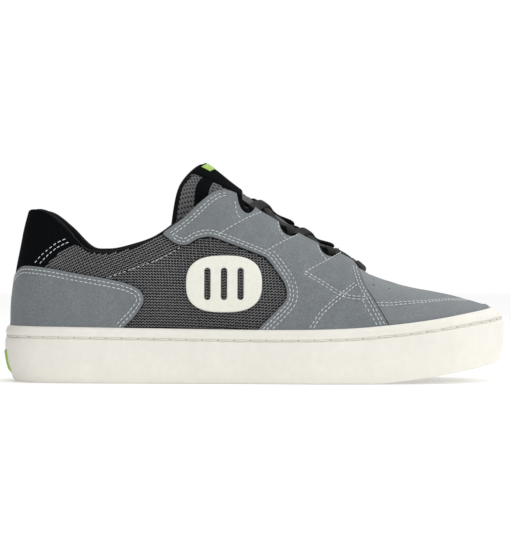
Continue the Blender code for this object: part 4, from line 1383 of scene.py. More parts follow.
def quarter_crease(_, on_last):
    """Soft troughs where the shoe bends at the ball, each with a low swell in front."""
    x, z = on_last[:, 0] / LENGTH, on_last[:, 2] / INSTEP_HEIGHT
    fold = np.zeros(len(x))
    level = blend(z, 0.30, 0.42) * (1 - blend(z, 0.52, 0.64))
    for at, lean, deep, wide in QUARTER_TROUGHS:
        off = (x - at - lean * (z - 0.42)) / wide
        fold += deep * level * (0.6 * np.exp(-(off - 2.0) ** 2) - np.exp(-off ** 2))
    return fold


for side, turned in (("lateral", False), ("medial", True)):
    ring = opposite(quarter) if turned else quarter
    rows = [opposite(r) if turned else r for r in QUARTER_ROWS]
    panel(f"quarter_suede_{side}", ring, PANEL_BASE, PANEL_THICK, SUEDE, [f"quarter_{side}"],
          rows=rows, crease=quarter_crease, cut=CUT_EDGE_SHADE)
    sew(f"quarter_stitches_{side}", [(r, QUARTER_TOP - STITCH_SUNK) for r in rows])

# %% [markdown]
# ## Vamp
# The vamp is softer suede that runs under the quarters and round the toe. It has a double row
# across the toe, a few pinholes behind it, and slight troughs where the foot will bend it.
# A cloth draped over the last would do, but it lies tight, so it is one more panel with holes.

# %% Vamp with its toe seam
VAMP_BASE = 0.0001
VAMP_THICK = 0.0006
PINHOLE = 0.00055
PINHOLES = ((216.4, 56.2), (225.6, 54.0), (217.0, 59.8), (225.8, 57.2))
TOE_SEAM = ((214.0, 45.3), (218.0, 45.4), (231.3, 45.7), (249.0, 46.8), (258.0, 47.4))
SEAM_FRONT = 0.9230 * LENGTH
VAMP_FROM = 9.9
THIN_SUNK = 0.0001
# Place along the shoe, depth and width of each trough across the toe box.
VAMP_TROUGHS = ((0.752, 0.00014, 0.014), (0.790, 0.00016, 0.015), (0.828, 0.00010, 0.014))


def round_hole(centre, radius, count=9):
    """A round hole on the last, as stations and heights."""
    turn = np.linspace(0, 2 * math.pi, count, endpoint=False)
    s, h = centre
    pitch = float(np.linalg.norm(last(s + 0.05, h) - last(s - 0.05, h)) / 0.1)
    return np.column_stack([s + radius * np.cos(turn) / pitch, h + radius * np.sin(turn) / float(rise(s))])


def vamp_crease(spots, on_last):
    """Soft troughs across the toe box, deepest on top and gone at the sole."""
    x = on_last[:, 0] / LENGTH
    high = blend(spots[:, 1], 0.45, 0.75)
    fold = np.zeros(len(x))
    for at, deep, wide in VAMP_TROUGHS:
        bow = at + 0.35 * (on_last[:, 1] / BALL_WIDTH) ** 2
        fold -= deep * np.exp(-((x - bow) / wide) ** 2)
        fold += 0.5 * deep * np.exp(-((x - bow - 1.6 * wide) / wide) ** 2)
    return fold * high


def ridge_at(x):
    """The place on the ridge of the toe at a distance along the shoe."""
    h = np.linspace(0.9, 0.1, 200)
    return TOE, float(np.interp(x, last(np.full(200, float(TOE)), h)[:, 0], h))


seam = find(mm(*TOE_SEAM))
toe_seam = even(smooth(np.vstack([seam, [ridge_at(SEAM_FRONT)], opposite(seam)[::-1]]), 10), ROW_STEP)
TOE_ROWS = [shift(toe_seam, HALF_GAP), shift(toe_seam, -HALF_GAP)]
low_line = level_line(VAMP_FROM, ROUND - VAMP_FROM, foot_of_panels)
high_line = level_line(ROUND - VAMP_FROM, VAMP_FROM, lambda s: 1 - 0.0004 / rise(s))
vamp_ring = np.vstack([low_line, high_line])
holes = [round_hole(c, PINHOLE) for c in find(mm(*PINHOLES))]
holes += [opposite(h) for h in holes]
panel("vamp_suede", vamp_ring, VAMP_BASE, VAMP_THICK, VAMP_SUEDE, [], rows=TOE_ROWS,
      holes=holes, lattice=0.0020, rounding=0.0006, crease=vamp_crease, cut=CUT_EDGE_SHADE)
sew("toe_stitches", [(r, VAMP_BASE + VAMP_THICK - THIN_SUNK) for r in TOE_ROWS])

# %% [markdown]
# ## Dark front edges and their shade
# The cut edge of a panel is darker than its face, and the quarter's edge also casts a thin shadow on the
# vamp.
# The panel's own edge is too fine to be seen from the front, and an outline drawn in the material
# would be flat. So a strip half a millimetre wide, dark as painted shade, leans from the quarter down to the
# vamp.

# %% Dark front edges of the quarters, with painted shade
EDGE_SHOWS = 0.0005


def front_edge(name, line):
    """The dark cut edge of a quarter and its shadow on the vamp, painted as a thin strip between its face and
    the vamp.
    """
    line = even(line, 0.0008)
    inside, outside = shift(line, 0.0002), shift(line, -EDGE_SHOWS)
    vamp_top = VAMP_BASE + VAMP_THICK
    rows = [last(*inside.T, QUARTER_TOP - 0.0005), last(*outside.T, vamp_top + 0.0002),
            last(*outside.T, vamp_top - 0.0004)]
    make_piece(name, np.vstack(rows), grid_faces(len(rows), len(line)), CUT_EDGE_SHADE)


front_edge("front_edge_shade_lateral", quarter_front)
front_edge("front_edge_shade_medial", opposite(quarter_front)[::-1])

# %% [markdown]
# ## Facings
# Under the scallops of the quarters lies a black facing with the punched eyelets. It shows only
# in the scallops. The shell behind each eyelet is opened too, so that the lace can go through.
# A boolean cuts ragged holes in a thin sheet, so they are outlines inside the panel's own.

# %% Facings with their eyelets
FACING_WIDE = 0.0115
FACING_BASE = -0.00010
FACING_THICK = 0.00045
FACING_FROM, FACING_TO = 6.9, 11.15
EYELET_RADIUS = 0.0021


def facing_ring():
    """Outline of a facing: along the throat's edge and back below it."""
    return np.vstack([below_edge(FACING_TO, FACING_FROM, 0.0002),
                      below_edge(FACING_FROM, FACING_TO, FACING_WIDE)])


def hole_at(station):
    """Height of an eyelet's middle at a station."""
    return 1 - EYELET_INSET / float(rise(station))


def open_shell(places):
    """Takes away the shell's faces behind the eyelets."""
    middles = np.array([tuple(p.center) for p in upper.data.polygons])
    tree = tree_of(np.array(places) - ORIGIN)
    drop = np.nonzero(distances(middles, tree) < EYELET_RADIUS - 0.0002)[0]
    bm = bmesh.new()
    bm.from_mesh(upper.data)
    bm.faces.ensure_lookup_table()
    bmesh.ops.delete(bm, geom=[bm.faces[i] for i in drop], context="FACES_ONLY")
    bm.to_mesh(upper.data)
    bm.free()
    print("shell faces opened behind the eyelets:", len(drop))


holes = [(s, hole_at(s)) for s in (*SCALLOPS, FRONT_EYELET)]
for side in ("lateral", "medial"):
    ring = facing_ring()
    rounds = [round_hole(h, EYELET_RADIUS, 16) for h in holes]
    if side == "medial":
        ring, rounds = opposite(ring), [opposite(r) for r in rounds]
    panel(f"facing_{side}", ring, FACING_BASE, FACING_THICK, BLACK_SUEDE, [], holes=rounds,
          lattice=0.0022, rounding=0.0003)
both_sides = holes + [(ROUND - s, h) for s, h in holes]
open_shell([last(s, h, away) for s, h in both_sides for away in (0.0, -float(wall(s, h)))])

# %% [markdown]
# ## Heel counter and tab
# The counter wraps round the heel and is sewn over the black tab above it. Both are cut as one
# piece from side to side, so their outlines cross the back of the heel at station 0. A Mirror
# modifier would copy one half, but the last isn't quite even, so places on it are mirrored.

# %% Counter and tab
TAB_BASE = 0.0001
TAB_THICK = 0.0009


def height_on(station, z):
    """Height on the last at one station where it reaches z."""
    h = np.linspace(0, 1, 400)
    return float(np.interp(z, last(np.full(400, float(station)), h)[:, 2], h))


def round_heel(outer, at_back):
    """An outer line from the back forward, joined over the heel with the inner one."""
    back = np.array([[0.0, height_on(0, at_back)]])
    other = outer * (-1, 1)
    return np.vstack([other[::-1], back, outer])


top = curve_on_last(shares(COUNTER_TOP[1:]))
top = above_foot(top[top[:, 0] > 0.25])
counter_top = even(round_heel(top, 0.528 * INSTEP_HEIGHT), 0.001)
bottom = level_line(counter_top[-1, 0], counter_top[0, 0], foot_of_panels)[1:-1]
counter_rows = [in_from(counter_top, -0.0022), in_from(counter_top, -0.0043)]
panel("counter_suede", np.vstack([counter_top, bottom]), PANEL_BASE, PANEL_THICK, SUEDE, ["heel_counter"],
      rows=counter_rows, cut=CUT_EDGE_SHADE)
sew("counter_stitches", [(r, QUARTER_TOP - STITCH_SUNK) for r in counter_rows])

front = curve_on_last(shares(TAB_FRONT))
under_counter = shift(counter_top, -0.0025)
under_counter = under_counter[np.abs(under_counter[:, 0]) < front[0, 0]]
front = front[front[:, 1] < edge_at(front[:, 0]) - 0.0011 / rise(front[:, 0])]
edge_line = below_edge(front[-1, 0], -front[-1, 0], 0.0010)
tab_ring = np.vstack([under_counter, front, edge_line, (front * (-1, 1))[::-1]])
tab_rows = []
for pairs in TAB_ROWS:
    row = curve_on_last(mm(*pairs))
    tab_rows += [row, row * (-1, 1)]
panel("tab_suede", tab_ring, TAB_BASE, TAB_THICK, BLACK_SUEDE, ["heel_tab"], rows=tab_rows)
sew("tab_stitches", [(r, TAB_BASE + TAB_THICK - THIN_SUNK) for r in tab_rows])

# %% [markdown]
# ## Collar binding
# A soft black band is folded over the padded edge. It is lofted a fraction of a millimetre
# outside the shell, from a little way down the outside, over the roll and down the lining.
# A curve with a round bevel would look like a cord, and a real band is flat with soft ends.

# %% Binding round the collar
BAND_END = 6.1
FACING_END = 7.35
BAND_LIFT = 0.00025
BAND_START = 0.35


def band_rows(s):
    """Rows of the band from its outer end, over the roll and down inside."""
    edge, thick, top = roll_of(s)

    def over(turn, lift):
        h = top + (edge - top + lift / rise(s)) * np.sin(turn)
        return last(s, h, -0.5 * thick + (0.5 * thick + lift) * np.cos(turn))

    rows = [over(BAND_START - 0.04, -0.0006), over(BAND_START - 0.03, 0.0), over(BAND_START, BAND_LIFT)]
    rows += [over(turn, BAND_LIFT) for turn in np.linspace(BAND_START, math.pi, 12)[1:]]
    for down, lift in ((0.0015, BAND_LIFT), (0.0032, BAND_LIFT), (0.0036, 0.0), (0.0038, -0.0006)):
        h = top - down / rise(s)
        rows.append(last(s, h, -wall(s, h) - lift))
    return np.array(rows)


def fold_over(name, first, last_station, material):
    """A band folded over the edge between two stations."""
    s = np.linspace(first, last_station, int(abs(last_station - first) / 0.05) + 1)
    band = band_rows(s)
    along, across = run_along(band[3]), run_along(band[:, len(s) // 2])
    uv = np.stack(np.meshgrid(along, across), axis=-1).reshape(-1, 2)
    make_piece(name, band.reshape(-1, 3), grid_faces(len(band), len(s)), material,
               uv=uv)


fold_over("collar_binding", -BAND_END, BAND_END, BINDING)

# %% [markdown]
# ## Side mesh
# The sides are an open knit: pale threads in zigzag rows over a dark ground, level below and
# slanting towards the collar. Each visible float of thread is a small bead, and the ground
# is the shell. Threads are made only where no panel covers them, with a fixed count a row.

# %% Threads of the mesh
ROW_PITCH = 0.00162
FLOAT_PITCH = 0.00098
FLOAT_LONG = 0.00168
FLOAT_THICK = 0.00044
FLOAT_SUNK = 0.00012
FLOAT_STRAY = 0.00004
UNDER_BINDING = 0.0024
SLANT = math.radians(51)
UPPER_TURN = math.radians(24)
MESH_ROW = ((52.0, 57.0), (63.2, 60.9), (78.8, 66.4), (93.2, 71.7), (107.0, 79.7), (113.0, 84.0))
LEAN_RINGS = ((-1.0, 0.35, -0.8), (-0.45, 1.0, 0.3), (0.45, 1.0, 0.3), (1.0, 0.35, -0.8))


def zigzag(turned):
    """Places and slants of thread floats in a flat layout turned by an angle."""
    u, v = np.meshgrid(np.arange(-0.02, 0.30, FLOAT_PITCH), np.arange(-0.12, 0.16, ROW_PITCH))
    even_odd = (np.arange(u.shape[1]) % 2)[None, :] * np.ones(u.shape)
    slant = np.where(even_odd > 0, SLANT, -SLANT)
    c, s = math.cos(turned), math.sin(turned)
    flat = np.column_stack([(u * c - v * s).ravel(), (u * s + v * c).ravel()])
    return flat, (slant + turned).ravel()


def uncovered(flat):
    """Whether a place on the outer side is bare mesh."""
    line = from_flat(flat)
    s, h = line.T
    bare = (s > 1.0) & (s < 10.6) & (h > rim_at(s) - 0.004) & (h < edge_at(s) - UNDER_BINDING / rise(s))
    whole_quarter = np.vstack([quarter_lower, quarter_front, level_line(11.2, quarter_lower[0, 0], edge_at)])
    for ring in (whole_quarter, np.vstack([counter_top, bottom]), tab_ring):
        bare &= ~encloses(flat_of(even(ring, 0.0010, closed=True)), flat)
    return bare


row_line = curve_on_last(mm(*MESH_ROW))
row_flat = flat_of(row_line)


def above_row(flat):
    """Whether a place lies above the row of stitches across the mesh."""
    return flat[:, 1] > np.interp(flat[:, 0], row_flat[:, 0], row_flat[:, 1])


def knit(side):
    """All the floats of thread on one side, as one mesh."""
    rng = np.random.default_rng(11)
    centre, along, up = [], [], []
    for turned, wanted in ((0.0, False), (UPPER_TURN, True)):
        flat, slant = zigzag(turned)
        keep = (flat[:, 0] > 0.02) & (flat[:, 0] < 0.27) & (flat[:, 1] > 0.0) & (flat[:, 1] < 0.11)
        flat, slant = flat[keep], slant[keep]
        keep = uncovered(flat) & (above_row(flat) == wanted)
        flat, slant = flat[keep], slant[keep]
        flat = flat + rng.normal(0, FLOAT_STRAY, flat.shape)
        line = from_flat(flat)
        if side == "medial":
            line = opposite(line)
        ahead, out = unit(steps_along(line)[0]), normal(*line.T)
        across = np.cross(out, ahead) * (-1 if side == "medial" else 1)
        centre.append(last(*line.T, -FLOAT_SUNK))
        along.append(ahead * np.cos(slant)[:, None] + across * np.sin(slant)[:, None])
        up.append(out)
    centre, along, up = (np.vstack(v) for v in (centre, along, up))
    points, faces = beads(centre, along, up, FLOAT_LONG, FLOAT_THICK, LEAN_RINGS, 5)
    make_piece(f"mesh_threads_{side}", points, faces, MESH_THREAD)
    print("floats of thread:", len(centre))


for side in ("lateral", "medial"):
    knit(side)
row_line = row_line[uncovered(flat_of(row_line))]
sew("mesh_row_stitches", [(row_line, 0.0001), (opposite(row_line), 0.0001)], thick=0.0004, long=0.0016)

# %% [markdown]
# ## Vent plates
# Each side carries a moulded plate with slots that let the mesh breathe. It is a panel like the
# suede ones, in rubber: its outline is a rounded oval and its slots are three upright capsules.

# %% Plates with slots
VENT_CENTRE = (0.439, 0.508)
VENT_SIZE = (0.148, 0.290)
VENT_SLOTS = 3
VENT_POWER = 0.75
VENT_BASE = 0.00022
VENT_THICK = 0.0012


def superpower(value, power):
    """Sign kept, size raised to a power. It squares a circle or an ellipse."""
    return np.sign(value) * np.abs(value) ** power


def vent_shapes():
    """Outline of the plate and of its slots in the side view, in metres."""
    centre, size = shares([VENT_CENTRE])[0], shares([VENT_SIZE])[0]
    turn = np.linspace(0, 2 * math.pi, 96, endpoint=False)
    ring = np.column_stack([np.cos(turn), np.sin(turn)])
    outline = centre + 0.5 * size * superpower(ring, VENT_POWER)
    pitch = size[0] / (VENT_SLOTS + 1.6)
    radius, half = 0.175 * pitch, 0.28 * size[1]
    slots = []
    for i in range(VENT_SLOTS):
        middle = centre + ((i - 0.5 * (VENT_SLOTS - 1)) * pitch, 0)
        slots.append(middle + radius * ring + np.sign(ring[:, 1:]) * (0, half - radius))
    return outline, slots


outline, slots = vent_shapes()
for side, start in (("lateral", OUTER), ("medial", INNER)):
    ring, holes = find(outline, start), [find(slot, start) for slot in slots]
    panel(f"vent_plate_{side}", ring, VENT_BASE, VENT_THICK, PLATE, [f"side_vent_{side}"],
          holes=holes, lattice=0.0016, rounding=0.0006)

# %% [markdown]
# ## Tongue
# The tongue is a pad of spacer mesh under the laces, bound in black along its top edge.
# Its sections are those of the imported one. The face is a fine grid with a shallow oval dimple
# at each opening of the spacer mesh, and both faces run together in a rounded edge.
# Cloth simulation would blur the dimples, and the pad is held by the laces, so it can't slump.

# %% Sections of the tongue
Held = namedtuple("Held", "wing wing_height shoulder shoulder_height rise pad")
TONGUE_HELD = (
    Held(11.40, 0.900, 12.20, 0.930, 0.10, 0.00), Held(10.90, 0.860, 11.10, 0.965, 0.05, 0.15),
    Held(10.20, 0.840, 10.30, 1.000, 0.10, 0.30), Held(9.50, 0.830, 9.50, 1.000, 0.25, 0.45),
    Held(8.70, 0.830, 8.70, 1.000, 0.40, 0.60), Held(7.90, 0.840, 7.90, 1.000, 0.50, 0.75),
    Held(7.10, 0.820, 7.30, 0.980, 0.66, 0.90),
)
Free = namedtuple("Free", "wing wing_height shoulder_x shoulder_y shoulder_z crown_x crown_z pad")
TONGUE_FREE = (
    Free(6.35, 0.900, 0.388, 0.160, 1.020, 0.420, 1.100, 1.00),
    Free(5.80, 0.950, 0.355, 0.162, 1.030, 0.394, 1.146, 0.85),
)


def inside(station, height):
    """A point inside the upper, at the tongue's distance from it."""
    return last(station, height, -(wall(station, height) + TONGUE_GAP))


def tongue_sections():
    """Five points across and a thickness for each section, from the toe end up."""
    rings = []
    for r in TONGUE_HELD:
        outer = inside(r.wing, r.wing_height), inside(r.shoulder, r.shoulder_height)
        inner = inside(ROUND - r.wing, r.wing_height), inside(ROUND - r.shoulder, r.shoulder_height)
        crown = 0.5 * (outer[1] + inner[1]) + (0, 0, r.rise * TONGUE_PAD)
        rings.append((*outer, crown, *inner[::-1]))
    for r in TONGUE_FREE:
        gap = -(WALL + COLLAR_PAD + TONGUE_GAP)
        shoulder = np.array([r.shoulder_x * LENGTH, -r.shoulder_y * BALL_WIDTH, r.shoulder_z * INSTEP_HEIGHT])
        crown = np.array([r.crown_x * LENGTH, 0, r.crown_z * INSTEP_HEIGHT])
        wings = last(r.wing, r.wing_height, gap), last(ROUND - r.wing, r.wing_height, gap)
        rings.append((wings[0], shoulder, crown, shoulder * (1, -1, 1), wings[1]))
    pads = np.array([r.pad for r in (*TONGUE_HELD, *TONGUE_FREE)])
    return np.array(rings), TONGUE_TOE + (TONGUE_PAD - TONGUE_TOE) * pads


SECTIONS, PADS = tongue_sections()


def up_the_tongue(table, u):
    """The table's smooth value at a share of the way up the tongue."""
    end = len(table) - 1
    at = np.clip(np.asarray(u, float), 0, 1) * end
    i = np.minimum(at.astype(int), end - 1)
    part = (at - i).reshape(at.shape + (1,) * (table.ndim - 1))
    return catmull(*(table[np.clip(i + k, 0, end)] for k in (-1, 0, 1, 2)), part)


def tongue_face(u, v):
    """A point on the tongue's outer face. u runs up from 0 to 1, v across from -1 to 1."""
    u, v = np.broadcast_arrays(np.asarray(u, float), np.asarray(v, float))
    ring = up_the_tongue(SECTIONS, u)
    before = 2 * ring[..., :1, :] - ring[..., 1:2, :]
    after = 2 * ring[..., -1:, :] - ring[..., -2:-1, :]
    ring = np.concatenate([before, ring, after], axis=-2)
    across = (np.clip(v, -1, 1) + 1) * 2
    j = np.minimum(across.astype(int), 3)
    four = (np.take_along_axis(ring, (j + k)[..., None, None], axis=-2)[..., 0, :] for k in range(4))
    face = catmull(*four, (across - j)[..., None])
    beyond = np.maximum(u - 1, 0)[..., None]
    if beyond.any():
        face = face + beyond * (face - tongue_face(np.full(u.shape, 0.96), v)) / 0.04
    return face


def tongue(u, v, offset=0.0):
    """A point at a distance from the tongue's outer face, with the direction outward."""
    u, v = np.asarray(u, float), np.asarray(v, float)
    step = 0.01
    at = np.minimum(u, 1)
    ahead = tongue_face(np.minimum(at + step, 1), v) - tongue_face(np.maximum(at - step, 0), v)
    aside = tongue_face(at, np.minimum(v + step, 1)) - tongue_face(at, np.maximum(v - step, -1))
    out = unit(-np.cross(ahead, aside))
    return tongue_face(u, v) + np.asarray(offset, float)[..., None] * out, out


def tongue_thick(u, v):
    """Thickness of the tongue, less towards its sides."""
    return up_the_tongue(PADS, u) * (1 - 0.55 * np.abs(v) ** 2)


TONGUE_END = 1.030
fine = np.linspace(0, TONGUE_END, 401)
spine = tongue_face(fine, np.zeros(401))
SPINE_RUN = run_along(spine)
TONGUE_LONG = SPINE_RUN[-1]
print("tongue", round(TONGUE_LONG * 1000, 1), "mm long, crown at", (spine[-1] * 1000).round(1))

# %% [markdown]
# ## Pad of the tongue
# Spacer mesh is a knit of two faces with air between, and its openings lie in staggered rows.
# The pad is one fine grid for the face and a coarser one for the back. The openings are real
# dimples, so that they also shade where the light comes low. A bump map would lose that.

# %% Pad of the tongue
MESH_PITCH = 0.0030
ROW_GAP = 0.5 * MESH_PITCH
HOLE_GAP = 0.8 * MESH_PITCH
DIMPLE = (0.00078, 0.00056)
DIMPLE_DEEP = 0.00042
PAD_STEP = 0.00058


def up_at(run):
    """The share up the tongue at a distance along its middle."""
    return np.interp(run, SPINE_RUN, fine)


def half_width(u):
    """Distance over the face from the middle of the tongue to its side."""
    v = np.linspace(0, 1, 41)
    line = tongue_face(np.asarray(u)[..., None], v)
    return np.linalg.norm(np.diff(line, axis=-2), axis=-1).sum(axis=-1)


def openings(run, aside):
    """1 in the middle of an opening of the spacer mesh, 0 between, for flat places in metres."""
    row = np.round(run / ROW_GAP)
    shifted = aside / HOLE_GAP + 0.5 * (row % 2)
    off_row = run - row * ROW_GAP
    off = (shifted - np.round(shifted)) * HOLE_GAP
    away = np.hypot(off_row / DIMPLE[0], off / DIMPLE[1])
    return 1 - blend(away, 0.55, 1.05)


def rounded(depth_half, away):
    """Depth below the face at a distance from the edge of a pad, for a round edge."""
    t = 1 - np.clip(away / depth_half, 0, 1)
    return depth_half * (1 - np.sqrt(1 - t * t))


edge_steps = np.array([0.0, 0.00003, 0.00015, 0.0004, 0.0008, 0.0013, 0.0019, 0.0025])
run = np.arange(0, TONGUE_LONG - 0.0030, PAD_STEP)
run = np.concatenate([run, TONGUE_LONG - edge_steps[::-1]])
u = up_at(run)
wide = half_width(u)
v = np.linspace(-1, 1, 121)
v = np.concatenate([[-1, -0.999, -0.994], v[1:-1], [0.994, 0.999, 1]])
U, V = np.meshgrid(u, v, indexing="ij")
aside = V * wide[:, None]
up_run = run[:, None] * np.ones_like(V)
from_top = (TONGUE_LONG - run)[:, None] * np.ones_like(V)
from_edge = np.minimum(from_top, (1 - np.abs(V)) * wide[:, None])
half_pad = 0.5 * tongue_thick(U, V)
edge_depth = rounded(half_pad, from_edge)
dimples = DIMPLE_DEEP * openings(up_run, aside) * blend(from_top, 0.001, 0.003)
swell = drift(tongue_face(U, V).reshape(-1, 3), 0.00035, 0.016).reshape(U.shape)
outer_face, _ = tongue(U, V, swell * blend(from_edge, 0.0, 0.006) - edge_depth - dimples)
low = np.concatenate([np.arange(0, len(u) - len(edge_steps), 4), np.arange(len(u) - len(edge_steps), len(u))])
inner_face, _ = tongue(U[low], V[low], -(2 * half_pad - edge_depth)[low])
outer_flat = np.stack([up_run, aside], axis=-1)
uv = np.vstack([*outer_flat, *outer_flat[low]])
faces = grid_faces(len(u), len(v))[:, ::-1]
back = grid_faces(len(low), len(v)) + len(u) * len(v)
print("tongue pad grid", outer_face.shape, "and", inner_face.shape)

# %% Spacer mesh


def flat_layout(nodes):
    """The flat layout of a piece, in metres."""
    where = nodes.new("ShaderNodeUVMap")
    where.uv_map = "layout"
    return where.outputs["UV"]


def spacer_mesh(name, light, dark):
    """Spacer mesh: pale between its openings, dark inside them, read from the flat layout."""
    material, nodes, shader = node_material(name)
    split = nodes.new("ShaderNodeSeparateXYZ")
    feed(split, Vector=flat_layout(nodes))
    up, aside = split.outputs[:2]

    def sum_of(operation, *values):
        return maths(nodes, operation, *values)

    row = sum_of("ROUND", sum_of("DIVIDE", up, ROW_GAP))
    odd = sum_of("MULTIPLY", sum_of("FLOORED_MODULO", row, 2.0), 0.5)
    place = sum_of("ADD", sum_of("DIVIDE", aside, HOLE_GAP), odd)
    off = sum_of("SUBTRACT", place, sum_of("ROUND", place))
    off = sum_of("MULTIPLY", off, HOLE_GAP / DIMPLE[1])
    off_row = sum_of("SUBTRACT", up, sum_of("MULTIPLY", row, ROW_GAP))
    off_row = sum_of("MULTIPLY", off_row, 1 / DIMPLE[0])
    away = sum_of("SQRT", sum_of("ADD", sum_of("MULTIPLY", off, off), sum_of("MULTIPLY", off_row, off_row)))
    grain = add_noise(nodes, add_node(nodes, "ShaderNodeTexCoord", "Object"), 2600.0, 3.0)
    colour = add_mix(nodes, 0.5, add_ramp(nodes, away, dark, light, 0.55, 0.95), grain, "MULTIPLY")
    add_bumps(nodes, shader, [grain], [0.00012])
    feed(shader, Base_Color=colour, Roughness=vary(nodes, grain, 0.75, 0.95), Specular_IOR_Level=0.12,
         Sheen_Weight=0.08)
    return material


SPACER = spacer_mesh("spacer_mesh", (0.165, 0.165, 0.170), (0.005, 0.005, 0.006))
pad_piece = make_piece("tongue_pad", np.vstack([*outer_face, *inner_face]), np.vstack([faces, back]), SPACER,
                       replaces=["tongue"], uv=uv)

# %% [markdown]
# ## Binding and label of the tongue
# A band is folded over the tongue's top edge, wider in the middle, and a bare label with a lime
# end is sewn below it. A bevelled curve could make the band, but its width would not change. So
# rows are laid at chosen distances from the edge, up the face, over it and down the back.

# %% Binding of the tongue
EDGE_BAND = (0.0056, 0.0026)
BAND_SWELL = 0.00045
BAND_SHARES = (1.0, 0.96, 0.85, 0.6, 0.35, 0.15, 0.05, 0.0)


def tongue_band():
    """A band folded round the top edge: up the outer face, over the edge, down the inner one."""
    v = np.linspace(-0.99, 0.99, 141)
    rows, depths = [], []
    ends = np.full(len(v), TONGUE_END)
    thick = tongue_thick(ends, v)
    per_u = np.linalg.norm(tongue_face(ends, v) - tongue_face(ends - 0.04, v), axis=1) / 0.04
    wide = EDGE_BAND[1] + (EDGE_BAND[0] - EDGE_BAND[1]) * (1 - blend(np.abs(v), 0.25, 0.6))
    for share in BAND_SHARES:
        away = wide * share
        lift = BAND_SWELL * math.sqrt(max(0.0, 1 - share ** 6)) - 0.0002
        depths.append((away, rounded(0.5 * thick, away) - lift))
    for away, depth in depths:
        rows.append(tongue(TONGUE_END - away / per_u, v, -depth)[0])
    for away, depth in depths[-2::-1]:
        rows.append(tongue(TONGUE_END - away / per_u, v, -(thick - depth))[0])
    top = tongue(ends, v, -0.5 * thick)[0]
    beyond = unit(top - tongue(ends - 0.01, v, -0.5 * thick)[0])
    rows[len(depths) - 1] = top + beyond * (BAND_SWELL - 0.0002)
    return np.array(rows)


band = tongue_band()
make_piece("tongue_binding", band.reshape(-1, 3), grid_faces(*band.shape[:2])[:, ::-1], BINDING)

# %% Label and dark strip
DARK_STRIP = (0.0150, 0.0100)
DARK_STRIP_HALF = 0.985
LABEL_ROWS = (0.695, 0.975)
LABEL_HALF = 0.34
LABEL_THICK = 0.0010
LIME_ROWS = (0.885, 0.955)
LIME_HALF = 0.20
THIN_PLATE = 0.0006


def tongue_plate(name, rows, half, base, thick, material, replaces=()):
    """A soft plate on the tongue's face with rounded edges, closed underneath."""
    u, v = np.meshgrid(np.linspace(*rows, 41), np.linspace(-half, half, 41), indexing="ij")
    long = np.linalg.norm(tongue_face(rows[1], 0.0) - tongue_face(rows[0], 0.0))
    wide = 2 * half * half_width(0.5 * sum(rows))
    away = np.minimum(np.minimum(u - rows[0], rows[1] - u) / (rows[1] - rows[0]) * long,
                      (half - np.abs(v)) / (2 * half) * wide)
    top, _ = tongue(u, v, base + thick - rounded(thick, np.clip(away / 0.8, 0, thick)))
    under, _ = tongue(u, v, np.full(u.shape, base))
    faces = grid_faces(*u.shape)
    make_piece(name, np.vstack([*top, *under]), np.vstack([faces[:, ::-1], faces + u.size]), material,
               replaces=replaces)


tongue_plate("tongue_label_plate", LABEL_ROWS, LABEL_HALF, 0.0002, LABEL_THICK, BLACK_SUEDE,
             ["tongue_label"])
tongue_plate("tongue_label_end", LIME_ROWS, LIME_HALF, LABEL_THICK - 0.0001, THIN_PLATE, LIME)
# A black strip across nearly the whole width of the tongue, ten to fifteen millimetres below its top.
dark_strip = up_at(TONGUE_LONG - np.array(DARK_STRIP))
tongue_plate("tongue_dark_strip", tuple(dark_strip), DARK_STRIP_HALF, 0.0001, THIN_PLATE, BLACK_SUEDE)
fold_over("facing_top_lateral", BAND_END, FACING_END, SPACER)
fold_over("facing_top_medial", -FACING_END, -BAND_END, SPACER)

# %% [markdown]
# ## Lace
# A flat woven lace starts as a bar between the front eyelets and crosses three times on its way
# up. It goes under the edge of one side, up through an eyelet, and over the edge to the other.
# Its ends stop out of sight in the top eyelets. Each run is swept along a few chosen places,
# with the flat side turned to the tongue, and is pinched where it goes through an eyelet.
# A bevelled curve could make it too, but it tends to twist where a flat lace turns over an edge.

# %% Places that the lace passes
Stop = namedtuple("Stop", "place up wide thick")
# Distance from the eyelet towards the edge, height above the last, lean, width and thickness.
OUT_OF_HOLE = (
    (0.0000, -0.0034, 1.5, 0.52, 1.2), (0.0001, -0.0008, 1.4, 0.54, 1.2), (0.0010, 0.0010, 0.8, 0.62, 1.15),
    (0.0028, 0.0014, 0.1, 0.82, 1.0), (0.0052, 0.0010, -0.3, 0.98, 1.0),
)
UNDER_EDGE = (
    (0.0036, -(WALL + 0.0008), 0.0, 0.90, 0.9), (0.0012, -(WALL + 0.0009), -0.3, 0.64, 1.0),
    (0.0002, -0.0018, -1.2, 0.54, 1.2), (0.0000, -0.0004, -1.5, 0.50, 1.15),
)


def turned(station, side):
    """The station on the outer side, -1, or on the inner one, 1."""
    return station if side < 0 else ROUND - station


def stop_on_last(station, from_hole, offset, lean, wide, thick):
    """A stop at a distance from the eyelet towards the edge, its flat side leaning by lean."""
    h = hole_at(station) + from_hole / float(rise(station))
    out = normal(station, min(h, 1.0))
    up_last = unit(last(station, h) - last(station, h - 0.02))
    up = out * math.cos(lean) - up_last * math.sin(lean)
    return Stop(last(station, h, offset), up, wide, thick)


def stop_on_tongue(u, v, lift, wide=1.0, thick=1.0):
    """A stop with its flat side on the tongue's face, raised by lift."""
    place, out = tongue(u, v, np.asarray(CLEAR + lift + 0.5 * LACE_THICK))
    return Stop(place, out, wide, thick)


def out_of_hole(station):
    """Up through the eyelet and over the edge towards the throat."""
    return [stop_on_last(station, *stop) for stop in OUT_OF_HOLE]


def under_edge(station):
    """Under the edge and up into the eyelet from inside."""
    return [stop_on_last(station, *stop) for stop in UNDER_EDGE]


print("stops at an eyelet:", len(OUT_OF_HOLE), "over the edge and", len(UNDER_EDGE), "under it")

# %% Sweep and weave of the lace
LACE_COUNT = 18


